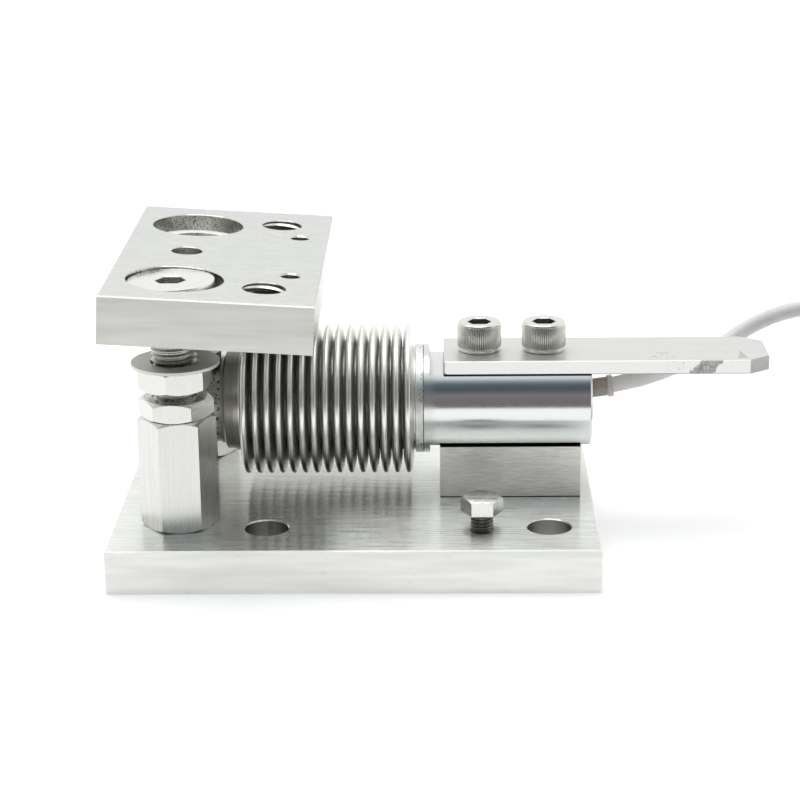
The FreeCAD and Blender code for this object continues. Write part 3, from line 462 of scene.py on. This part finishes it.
def knurled_screw_steel(pitch_middle, half_pitch, groove_radius, knurl_low, knurl_high):
    """Cap screw steel: bright all over, with painted shade in the grooves of the knurl of two heads beside
    each other. The sizes are in millimetres."""
    material, tree, where = blank("bright_knurled_screw_steel")
    x, y, z = add(tree, "SeparateXYZ", {0: where}).node.outputs
    # The grooves of the knurl are painted dark, as painted shade.
    aside = add(tree, "Math", {0: x, 1: pitch_middle * MM}, operation="SUBTRACT")
    plan = add(tree, "CombineXYZ", {"X": add(tree, "Math", {0: aside}, operation="ABSOLUTE"), "Y": y})
    away = add(tree, "VectorMath", {0: plan, 1: (half_pitch * MM, 0.0, 0.0)}, "Value", operation="DISTANCE")
    deep = limits(groove_radius * MM, (groove_radius + 0.3) * MM, 1.0, 0.0)
    groove = add(tree, "MapRange", {"Value": away, **deep})
    band = between(tree, z, knurl_low, knurl_high, 0.1)
    groove = add(tree, "Math", {0: groove, 1: band}, operation="MULTIPLY")
    cloud = grains(tree, where, [3.0, 3.0, 3.0], 2.0)
    shade = add(tree, "Mix", {"Factor": cloud, FROM: "#dadad6", TO: "#ecece8"}, MIXED, data_type="RGBA")
    shade = add(tree, "Mix", {"Factor": band, FROM: shade, TO: "#d2d2cd"}, MIXED, data_type="RGBA")
    shade = add(tree, "Mix", {"Factor": groove, FROM: shade, TO: "#a3a29d"}, MIXED, data_type="RGBA")
    rough = add(tree, "MapRange", {"Value": cloud, **limits(0.3, 0.7, 0.18, 0.26)})
    rough = add(tree, "Mix", {"Factor": band, FROM_NUMBER: rough, TO_NUMBER: 0.28})
    shader = add(tree, "BsdfPrincipled", {"Base Color": shade, "Metallic": 1.0, "Roughness": rough})
    add(tree, "OutputMaterial", {"Surface": shader})
    return material


def cut_thread_steel(oil_top):
    """Tapped thread in a plate: bright at its mouth, and painted black below a height in millimetres, as
    painted shade deeper in the hole."""
    material, tree, where = blank("cut_plate_thread")
    z = add(tree, "SeparateXYZ", {0: where}, "Z")
    # Below the height the thread is painted black: painted shade in the hole.
    clean = add(tree, "MapRange", {"Value": z, **limits(oil_top * MM, (oil_top + 0.4) * MM)})
    cloud = grains(tree, where, [1.0, 1.0, 0.3], 2.0)
    bright = add(tree, "Mix", {"Factor": cloud, FROM: "#dcdcd8", TO: "#f4f4f0"}, MIXED, data_type="RGBA")
    shade = add(tree, "Mix", {"Factor": clean, FROM: "#33322f", TO: bright}, MIXED, data_type="RGBA")
    relief = add(tree, "Bump", {"Height": cloud, "Distance": 0.002 * MM})
    shader = add(tree, "BsdfPrincipled",
                 {"Base Color": shade, "Metallic": 1.0, "Roughness": 0.3, "Normal": relief})
    add(tree, "OutputMaterial", {"Surface": shader})
    return material


def moulded_sleeve():
    """Grey rubber strain relief with a fine, uneven skin and a paler rim where the cable leaves it."""
    material, tree, where = blank("moulded_grey_strain_relief")
    end = span("cable_sleeve", "X")[1]
    x = add(tree, "SeparateXYZ", {0: where}, "X")
    skin = grains(tree, where, [1.2, 0.8, 0.8], 3.0, 0.6)
    shade = add(tree, "Mix", {"Factor": skin, FROM: "#a89f94", TO: "#cdc5ba"}, MIXED, data_type="RGBA")
    rim = add(tree, "MapRange", {"Value": x, **limits((end - 2.9) * MM, (end - 2.3) * MM)})
    shade = add(tree, "Mix", {"Factor": rim, FROM: shade, TO: "#e6dfd9"}, MIXED, data_type="RGBA")
    relief = add(tree, "Bump", {"Height": skin, "Distance": 0.02 * MM})
    shader = add(tree, "BsdfPrincipled", {"Base Color": shade, "Roughness": 0.45, "Normal": relief})
    add(tree, "OutputMaterial", {"Surface": shader})
    return material


def vinyl_jacket():
    """Extruded soft vinyl: an even light grey with a low sheen and slight waves from the cores inside."""
    material, tree, where = blank("extruded_light_grey_vinyl")
    cloud = grains(tree, where, [3.0, 3.0, 3.0], 2.0)
    shade = add(tree, "Mix", {"Factor": cloud, FROM: "#e8e8e6", TO: "#f4f4f2"}, MIXED, data_type="RGBA")
    rough = add(tree, "MapRange", {"Value": cloud, **limits(0.3, 0.7, 0.42, 0.5)})
    relief = add(tree, "Bump", {"Height": cloud, "Distance": 0.03 * MM})
    shader = add(tree, "BsdfPrincipled", {"Base Color": shade, "Roughness": rough, "Normal": relief})
    add(tree, "OutputMaterial", {"Surface": shader})
    return material


def moulded_plastic(name, pale, dark, roughness=0.45):
    """Moulded or cast plastic with a fine, slightly uneven skin."""
    material, tree, where = blank(name)
    skin = grains(tree, where, [0.8, 0.8, 0.8], 2.0)
    shade = add(tree, "Mix", {"Factor": skin, FROM: dark, TO: pale}, MIXED, data_type="RGBA")
    relief = add(tree, "Bump", {"Height": skin, "Distance": 0.02 * MM})
    shader = add(tree, "BsdfPrincipled", {"Base Color": shade, "Roughness": roughness, "Normal": relief})
    add(tree, "OutputMaterial", {"Surface": shader})
    return material


# Turned, hexagonal and threaded shapes

def hexagon_edge(across_flats, angle):
    """Distance from a hexagon's middle to its edge; its corners lie at multiples of 60 degrees."""
    step = math.pi / 3
    return across_flats / 2 / math.cos(angle % step - step / 2)


def round_z(radius, angle, height):
    """Point at a radius and an angle about the Z axis, turned from millimetres to metres."""
    return radius * math.cos(angle) * MM, radius * math.sin(angle) * MM, height * MM


def add_rings(mesh, rings, segments=96):
    """Closed shell through rings about the Z axis. A ring is a height and a radius, which may be a function
    of the angle, in millimetres. The first and last rings are closed with a fan."""
    loops = []
    for height, radius in rings:
        loop = []
        for n in range(segments):
            angle = 2 * math.pi * n / segments
            reach = radius(angle) if callable(radius) else radius
            loop.append(mesh.verts.new(round_z(reach, angle, height)))
        loops.append(loop)
    for low, high in zip(loops, loops[1:]):
        for n in range(segments):
            following = (n + 1) % segments
            mesh.faces.new((low[n], low[following], high[following], high[n]))
    for loop, height, order in ((loops[0], rings[0][0], -1), (loops[-1], rings[-1][0], 1)):
        tip = mesh.verts.new((0, 0, height * MM))
        for n in range(segments):
            pair = (loop[n], loop[(n + 1) % segments])[::order]
            mesh.faces.new((*pair, tip))


def add_ridge(mesh, low, high, root, crest, pitch, steps=48):
    """Right-handed thread ridge about the Z axis, from the root radius out or in to the crest radius."""
    count = round(((high - low) / pitch - 1) * steps)
    root_half = pitch * 0.42
    crest_half = pitch * 0.07
    fade = steps / 3
    stations = []
    for n in range(count + 1):
        angle = 2 * math.pi * n / steps
        middle = low + pitch / 2 + pitch * n / steps
        share = max(0.05, min(1.0, n / fade, (count - n) / fade))
        top = root + (crest - root) * share
        profile = [(root, -root_half), (top, -crest_half), (top, crest_half), (root, root_half)]
        stations.append([mesh.verts.new(round_z(radius, angle, middle + rise)) for radius, rise in profile])
    order = 1 if crest > root else -1
    for here, ahead in zip(stations, stations[1:]):
        for n in range(4):
            following = (n + 1) % 4
            mesh.faces.new((here[n], ahead[n], ahead[following], here[following])[::order])
    mesh.faces.new(stations[0][::order])
    mesh.faces.new(stations[-1][::-order])


def put(name, data):
    """Object in the scene that shows a mesh, a curve, a camera or a lamp."""
    item = bpy.data.objects.new(name, data)
    bpy.context.scene.collection.objects.link(item)
    return item


def make_piece(name, mesh, place, sharp=32.0):
    """Object from a mesh, set at a place; faces that meet below the sharp angle are smooth."""
    data = bpy.data.meshes.new(name)
    mesh.transform(place)
    mesh.to_mesh(data)
    mesh.free()
    data.polygons.foreach_set("use_smooth", [True] * len(data.polygons))
    data.set_sharp_from_angle(angle=math.radians(sharp))
    return put(name, data)


def dress(piece, body, material, slot, *nodes):
    """Gives a new piece its finish and its body, and hides the CAD nodes that it stands for."""
    piece.data.materials.append(material)
    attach(piece, body)
    if nodes:
        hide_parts(*nodes)


def paint(material, *nodes):
    """Gives CAD nodes a finish."""
    for name in nodes:
        slots = frame["nodes"][name].data.materials
        slots.clear()
        slots.append(material)


# Screws and threads

WIDE_PITCH = 2.0
RIDGE_SINK = 0.05


def make_ground_bolt():
    """Hexagon bolt with its thread showing below the head."""
    place, low, high = extent("ground_bolt")
    flats = 13.0
    head = high - 5.4
    thread = 4.0
    core = 3.35
    pitch = 1.25
    corner = flats / math.sqrt(3)
    face = flats / 2 * 0.97
    drop = (corner - face) * math.tan(math.radians(30))
    steps = 8
    rings = [(low, core - 0.5), (low + 0.5, core), (head - 0.6, core), (head - 0.3, thread), (head, thread)]
    rings += [(head, lambda angle: hexagon_edge(flats, angle))]
    for n in range(steps + 1):
        edge = corner + (face - corner) * n / steps
        level = high - drop + drop * n / steps
        rings.append((level, lambda angle, edge=edge: min(edge, hexagon_edge(flats, angle))))
    mesh = bmesh.new()
    add_rings(mesh, rings)
    add_ridge(mesh, low + 0.3, head, core - RIDGE_SINK, thread, pitch)
    bolt = make_piece("ground_bolt_threaded", mesh, place)
    material = fastener_steel("zinc_plated_steel", "#ececea", "#d8d8d5", 0.22, 0.3, "#858480", head)
    dress(bolt, "module", material, "zinc_plated_steel", "ground_bolt")


def socket_rings(top, flats, lip, depth):
    """Rings of a hexagon socket from its bevelled lip to its bottom."""
    return [(top, lambda angle: hexagon_edge(flats, angle) + lip),
            (top - lip, lambda angle: hexagon_edge(flats, angle)),
            (top - depth, lambda angle: hexagon_edge(flats, angle))]


def make_stay_screw():
    """Stay screw: a coarse thread up to a wide flat head with a hexagon socket."""
    place, low, high = extent("stay_screw")
    head = high - 3.5
    radius = 15.25
    thread = 8.0
    core = 6.8
    rings = [(low, core - 1.0), (low + 1.0, core), (head - 1.0, core), (head, thread), (head, radius - 0.2)]
    rings += [(head + 0.2, radius), (high - 0.5, radius), (high - 0.15, radius - 0.15), (high, radius - 0.5)]
    rings += socket_rings(high, flats=10.0, lip=0.5, depth=6.0)
    mesh = bmesh.new()
    add_rings(mesh, rings)
    add_ridge(mesh, low + 0.5, head - 0.5, core - RIDGE_SINK, thread, WIDE_PITCH)
    screw = make_piece("stay_screw_threaded", mesh, place)
    material = fastener_steel("bright_stay_screw_steel", "#f2f2ee", "#e6e6e1", 0.22, 0.3, "#b4b3ae", head)
    dress(screw, "module", material, "stainless_fastener", "stay_screw")


def make_clamp_screws():
    """Socket cap screws with straight knurled heads."""
    low, high = span("clamp_screws", "Z")
    left, right = span("clamp_screws", "X")
    radius = 8.0
    smooth = radius - 0.15
    line = smooth - 0.12
    shank = 5.0
    ridges = 72
    knurl_depth = 0.75
    foot = high - 10.9
    crown = 0.9
    crown_steps = 5
    knurl_low, knurl_high = foot + 2.0, high - crown - 0.3

    def knurl(angle):
        return radius - knurl_depth * max(0.0, abs((angle * ridges / (2 * math.pi)) % 1.0 - 0.5) * 4 - 1)

    rings = [(low, shank - 0.8), (low + 0.8, shank), (foot, shank)]
    rings += [(foot, radius - 0.6), (foot + 0.6, smooth)]
    rings += [(foot + 1.1, smooth), (foot + 1.2, line), (foot + 1.4, line), (foot + 1.5, smooth)]
    rings += [(knurl_low - 0.25, smooth), (knurl_low, knurl)]
    rings += [(knurl_high, knurl), (knurl_high + 0.25, smooth)]
    for n in range(crown_steps + 1):
        turn = math.radians(90 * n / crown_steps)
        rings.append((high - crown + crown * math.sin(turn), smooth - crown * (1 - math.cos(turn))))
    rings += socket_rings(high, flats=8.0, lip=0.4, depth=5.0)
    material = knurled_screw_steel((left + right) / 2, (right - left) / 2 - radius, radius - 0.7,
                                   knurl_low, knurl_high)
    for label, x in (("left", left + radius), ("right", right - radius)):
        mesh = bmesh.new()
        add_rings(mesh, rings, ridges * 6)
        screw = make_piece(f"clamp_screw_{label}", mesh, Matrix.Translation((x * MM, 0, 0)))
        dress(screw, "module", material, "stainless_fastener", "clamp_screws")


def make_plate_threads():
    """Thread in the two large holes of the top plate."""
    pattern = mount("top_bolts")
    middle = Vector(pattern["pos_m"])
    turn = Vector((0, 0, 1)).rotation_difference(Vector(pattern["axis"])).to_matrix().to_4x4()
    start = Matrix.Rotation(math.radians(135), 4, "Z")
    bore = pattern["dims"]["hole_r_mm"]
    reach = 8.2
    material = cut_thread_steel(middle.z / MM + 5.45)
    for label, side in (("front", -1), ("rear", 1)):
        mesh = bmesh.new()
        add_ridge(mesh, -reach, reach, bore + RIDGE_SINK, bore - 0.75, WIDE_PITCH)
        spot = middle + Vector((0, side * pattern["dims"]["pcd_mm"] / 2 * MM, 0))
        piece = make_piece(f"plate_thread_{label}", mesh, Matrix.Translation(spot) @ turn @ start)
        dress(piece, "load_plate", material, "ground_steel_plate")


def make_standoff_thread(material):
    """Thread in the free top hole of the rear standoff."""
    hole = mount("rear_stay_thread")
    half = hole["dims"]["length_mm"] / 2
    bore = hole["dims"]["r_mm"]
    mesh = bmesh.new()
    add_ridge(mesh, 2.0 - half, half - 0.3, bore + RIDGE_SINK, bore - 1.2, WIDE_PITCH)
    piece = make_piece("rear_standoff_thread", mesh, Matrix.Translation(hole["pos_m"]))
    dress(piece, "module", material, "drawn_steel_hexagon")


# The lead

CABLE_DIAMETER = 6.0
CABLE_ROUTE = [
    (0.0818, 0.0, 0.0523),
    (0.1017, 0.0, 0.0547),
    (0.1217, 0.0164, 0.0576),
    (0.1323, 0.0246, 0.0584),
    (0.1444, 0.0315, 0.0652),
    (0.1572, 0.0318, 0.0719),
    (0.1715, 0.0325, 0.0746),
    (0.1855, 0.0333, 0.0708),
    (0.1965, 0.0336, 0.0622),
    (0.2032, 0.0336, 0.0506),
    (0.2087, 0.0334, 0.0382),
    (0.2176, 0.0326, 0.0298),
    (0.2299, 0.0305, 0.0246),
]
TAIL_ROUTE = [
    (0.2721, -0.0175, 0.0036),
    (0.2719, -0.0285, 0.0031),
    (0.2698, -0.0392, 0.0030),
]
COIL_CENTRE = (227.7, -14.0)
COIL_MID_RADIUS = 34.0
COIL_LAYERS = 4
COIL_TURNS = 2.9
COIL_TURN_PITCH = 6.2
COIL_LAYER_PITCH = 6.1
COIL_LOWEST = 4.0
COIL_START = 70.0
COIL_STEP_DOWN = 188.0
COIL_POINT_STEP = 15.0
TIE_ANGLE = 200.0
TIE_WIDTH = 3.0
TIE_THICKNESS = 0.7
TIE_LOCK = (5.0, 4.4, 3.4)
TIE_LOCK_BEVEL = 0.5


def coil_point(turned, radius, height):
    """Point of the coil, in metres, after so many degrees clockwise from its start."""
    angle = math.radians(COIL_START - turned)
    return ((COIL_CENTRE[0] + radius * math.cos(angle)) * MM,
            (COIL_CENTRE[1] + radius * math.sin(angle)) * MM, height * MM)


def coil_points():
    """Control points of the coil: layers wound in and out from the top, each joined to the next by a step
    down."""
    reach = COIL_TURNS * COIL_TURN_PITCH / 2
    rims = [COIL_MID_RADIUS + reach, COIL_MID_RADIUS - reach]
    stations = []
    turned = 0.0
    for layer in range(COIL_LAYERS):
        height = COIL_LOWEST + (COIL_LAYERS - 1 - layer) * COIL_LAYER_PITCH
        stations.append((turned, rims[layer % 2], height))
        turned += COIL_TURNS * 360
        stations.append((turned, rims[1 - layer % 2], height))
        turned += COIL_STEP_DOWN
    points = []
    for (turned, radius, height), (turned_next, radius_next, height_next) in zip(stations, stations[1:]):
        count = round((turned_next - turned) / COIL_POINT_STEP)
        for n in range(count):
            share = n / count
            ease = share * share * (3 - 2 * share)
            points.append(coil_point(turned + (turned_next - turned) * share,
                                     radius + (radius_next - radius) * share,
                                     height + (height_next - height) * ease))
    points.append(coil_point(*stations[-1]))
    return points


def turns_at(angle):
    """Distance from the coil's middle and height of each turn, in millimetres, at an angle in degrees."""
    # The line lies inside its control points: its radius is this share of theirs.
    inside = math.cos(math.radians(COIL_POINT_STEP / 2))
    places = []
    for x, y, z in coil_points():
        across, along = x / MM - COIL_CENTRE[0], y / MM - COIL_CENTRE[1]
        past = (math.degrees(math.atan2(along, across)) - angle + 180) % 360 - 180
        places.append((past, math.hypot(across, along) * inside, z / MM))
    turns = []
    for (past, radius, height), (past_next, radius_next, height_next) in zip(places, places[1:]):
        if past >= 0 > past_next and past - past_next < 90:
            share = past / (past - past_next)
            turns.append((radius + (radius_next - radius) * share, height + (height_next - height) * share))
    return turns


def make_coil_tie():
    """Strap pulled tight round the turns of the coil, with a small lock on its top."""
    turns = turns_at(TIE_ANGLE)
    inner = CABLE_DIAMETER / 2 + 0.05
    outer = inner + TIE_THICKNESS
    half = TIE_WIDTH / 2
    corners = ((inner, -half), (outer, -half), (outer, half), (inner, half))
    steps = 96
    mesh = bmesh.new()
    stations = []
    for n in range(steps):
        angle = 2 * math.pi * n / steps
        out, up = math.cos(angle), math.sin(angle)
        far, high = max(turns, key=lambda turn: turn[0] * out + turn[1] * up)
        stations.append([mesh.verts.new(((far + reach * out) * MM, side * MM, (high + reach * up) * MM))
                         for reach, side in corners])
    for here, ahead in zip(stations, stations[1:] + stations[:1]):
        for n in range(4):
            following = (n + 1) % 4
            mesh.faces.new((here[n], here[following], ahead[following], ahead[n]))
    top = max(high for far, high in turns) + inner
    middle = sum(far for far, high in turns) / len(turns)
    sunk = 0.2
    lock_place = Matrix.Translation((middle * MM, 0, (top + TIE_LOCK[2] / 2 - sunk) * MM))
    lock_size = Matrix.Diagonal((*(Vector(TIE_LOCK) * MM), 1.0))
    lock = bmesh.ops.create_cube(mesh, matrix=lock_place @ lock_size)
    edges = {edge for vert in lock["verts"] for edge in vert.link_edges}
    bmesh.ops.bevel(mesh, geom=list(edges), offset=TIE_LOCK_BEVEL * MM, segments=2, affect="EDGES")
    bmesh.ops.recalc_face_normals(mesh, faces=mesh.faces)
    place = Matrix.Translation((COIL_CENTRE[0] * MM, COIL_CENTRE[1] * MM, 0))
    strap = make_piece("coil_tie_strap", mesh, place @ Matrix.Rotation(math.radians(TIE_ANGLE), 4, "Z"))
    nylon = moulded_plastic("moulded_black_nylon", "#232324", "#161617", 0.4)
    paint(nylon, "coil_tie")
    dress(strap, "module", nylon, "tie_plastic", "coil_tie")
    return strap


def make_lead():
    """The cable lead as one smooth line, from the strain relief through its coil to its bare end."""
    data = bpy.data.curves.new("cable_lead", "CURVE")
    data.dimensions = "3D"
    data.bevel_depth = CABLE_DIAMETER / 2 * MM
    data.bevel_resolution = 4
    data.resolution_u = 3
    data.use_fill_caps = True
    spline = data.splines.new("NURBS")
    points = CABLE_ROUTE + coil_points() + TAIL_ROUTE
    spline.points.add(len(points) - 1)
    for point, at in zip(spline.points, points):
        point.co = (*at, 1.0)
    spline.order_u = 3
    spline.use_endpoint_u = True
    lead = put("cable_lead", data)
    jacket = vinyl_jacket()
    paint(jacket, "cable", "cable_coil", "cable_tail")
    dress(lead, "module", jacket, "cable_jacket", "cable", "cable_coil", "cable_tail")
    on_it = [frame["nodes"][name] for name in ("red_core", "black_core", "green_core", "white_core")]
    on_it.append(make_coil_tie())


# Camera and studio

LENS_MM = 100.77
CAMERA_PLACE = (31.45, -786.87, 301.04)
CAMERA_PITCH = 17.789
CAMERA_YAW = -1.159
CAMERA_ROLL = -0.649


def make_camera():
    """Camera at the photograph's viewing angle."""
    data = bpy.data.cameras.new("camera")
    data.sensor_width = 36.0
    data.sensor_fit = "HORIZONTAL"
    data.lens = LENS_MM
    data.clip_end = 50.0
    camera = put("camera", data)
    aim = (Matrix.Rotation(math.radians(-CAMERA_YAW), 4, "Z")
           @ Matrix.Rotation(math.radians(90 - CAMERA_PITCH), 4, "X")
           @ Matrix.Rotation(math.radians(CAMERA_ROLL), 4, "Z"))
    camera.matrix_world = Matrix.Translation(Vector(CAMERA_PLACE) * MM) @ aim
    bpy.context.scene.camera = camera


def make_floor():
    """Pale floor that shows white and keeps the object's shadow. It ends a short way in front of the
    object."""
    data = bpy.data.meshes.new("floor")
    half = 5.0
    front = -0.62
    corners = [(-half, front, 0), (half, front, 0), (half, half, 0), (-half, half, 0)]
    data.from_pydata(corners, [], [(0, 1, 2, 3)])
    floor = put("floor", data)
    material = bpy.data.materials.new("white_floor")
    tree = empty_tree(material)
    seen = 0.0
    for ray in ("Is Camera Ray", "Is Glossy Ray", "Is Transmission Ray"):
        seen = add(tree, "Math", {0: add(tree, "LightPath", out=ray), 1: seen}, operation="MAXIMUM")
    glow = add(tree, "Math", {0: seen, 1: 0.35}, operation="MULTIPLY")
    paper = add(tree, "BsdfDiffuse", {"Color": "#eeeeee"})
    light = add(tree, "Emission", {"Color": "#ffffff", "Strength": glow})
    add(tree, "OutputMaterial", {"Surface": add(tree, "AddShader", {0: paper, 1: light})})
    data.materials.append(material)


# Colours of the open front of the studio, by the sine of the height at which one looks
FRONT_OF_STUDIO = [
    (0.0, "#726e70"),
    (0.05, "#767275"),
    (0.20, "#7f7673"),
    (0.375, "#858285"),
    (0.46, "#6c6d74"),
    (0.565, "#4c565f"),
    (0.70, "#5a6771"),
    (0.74, "#717f89"),
    (0.80, "#a3afb7"),
    (0.83, "#dce1e4"),
    (0.86, "#f6f7f8"),
    (1.0, "#ffffff"),
]


def make_world():
    """White studio that is open and darker at the front, up to a bright ceiling."""
    world = bpy.data.worlds.new("studio")
    bpy.context.scene.world = world
    tree = empty_tree(world)
    direction = add(tree, "TexCoord", out="Generated")
    height = add(tree, "SeparateXYZ", {0: direction}, "Z")
    depth = add(tree, "SeparateXYZ", {0: direction}, "Y")
    front = add(tree, "ValToRGB", {0: height})
    band = front.node.color_ramp
    while len(band.elements) < len(FRONT_OF_STUDIO):
        band.elements.new(0.5)
    for element, (at, colour) in zip(band.elements, FRONT_OF_STUDIO):
        element.position = at
        element.color = linear(colour)
    share = add(tree, "MapRange", {"Value": depth, **limits(-0.45, 0.0, 1.0, 0.0)})
    room = add(tree, "Mix", {"Factor": share, FROM: "#ffffff", TO: front}, MIXED, data_type="RGBA")
    seen = add(tree, "LightPath", out="Is Camera Ray")
    shown = add(tree, "Mix", {"Factor": seen, FROM: room, TO: "#ffffff"}, MIXED, data_type="RGBA")
    add(tree, "OutputWorld", {"Surface": add(tree, "Background", {"Color": shown, "Strength": 1.0})})


def make_lamp():
    """Large soft lamp overhead."""
    data = bpy.data.lights.new("ceiling_lamp", "AREA")
    data.shape = "RECTANGLE"
    data.size = 1.2
    data.size_y = 0.8
    data.energy = 6.0
    lamp = put("ceiling_lamp", data)
    lamp.matrix_world = Matrix.Translation((-0.2, 0.1, 1.3))


def paint_nodes(hexagon):
    """Gives every CAD node but the lead and its tie a finish; the standoffs' one is handed in."""
    # Both plates are one steel: the load plate's colours are painted darker, as painted shade.
    paint(ground_plate_steel("ground_steel_base_plate", "#dfe1dd", "#f0f2ef", "#e3e4df", "#f3f4f0",
                             0.22, 0.36), "base_plate")
    paint(ground_plate_steel("ground_steel_load_plate", "#cccecb", "#dadcd9", "#d7d8d2", "#e7e8e3",
                             0.26, 0.32), "top_plate")
    paint(scratched_block_steel(), "spacer_block")
    paint(rolled_bar_steel(), "clamp_bar")
    paint(polished_body_steel(), "load_cell_body", "load_pin")
    paint(welded_ring_steel(), "load_end_ring", "clamp_end_ring")
    paint(formed_bellows_steel(), "bellows")
    paint(hexagon, "front_standoff", "rear_standoff")
    paint(fastener_steel("bright_stainless_fastener", "#e6e6e2", "#d8d8d3", 0.22, 0.32),
          "upper_jam_nut", "lower_jam_nut", "standoff_screws", "clamp_screws", "stay_screw")
    paint(fastener_steel("matt_zinc_plated_steel", "#e4e4df", "#d6d6d1", 0.46, 0.56),
          "stay_washer", "ground_bolt")
    paint(moulded_sleeve(), "cable_sleeve")
    paint(moulded_plastic("cast_sealing_compound", "#565658", "#3e3e40", 0.6), "cavity_plug")
    paint(moulded_plastic("green_circuit_board", "#256a42", "#1a4d2f", 0.35), "terminal_board")
    paint(moulded_plastic("copper_foil_on_film", "#c29457", "#a0763f", 0.35), "strain_gauges")
    paint(moulded_plastic("white_wire_insulation", "#e2e2e0", "#cfcfcc"),
          "gauge_wires", "lead_cores", "white_core")
    paint(moulded_plastic("red_wire_insulation", "#b8231d", "#951914"), "red_core")
    paint(moulded_plastic("black_wire_insulation", "#1d1d1d", "#121212"), "black_core")
    paint(moulded_plastic("green_wire_insulation", "#20773f", "#175a2e"), "green_core")


def main():
    make_camera()
    make_world()
    make_floor()
    make_lamp()
    hexagon = drawn_hexagon_steel()
    paint_nodes(hexagon)
    make_lead()
    make_ground_bolt()
    make_stay_screw()
    make_clamp_screws()
    make_plate_threads()
    make_standoff_thread(hexagon)
    bpy.context.scene.view_settings.view_transform = "Standard"


main()
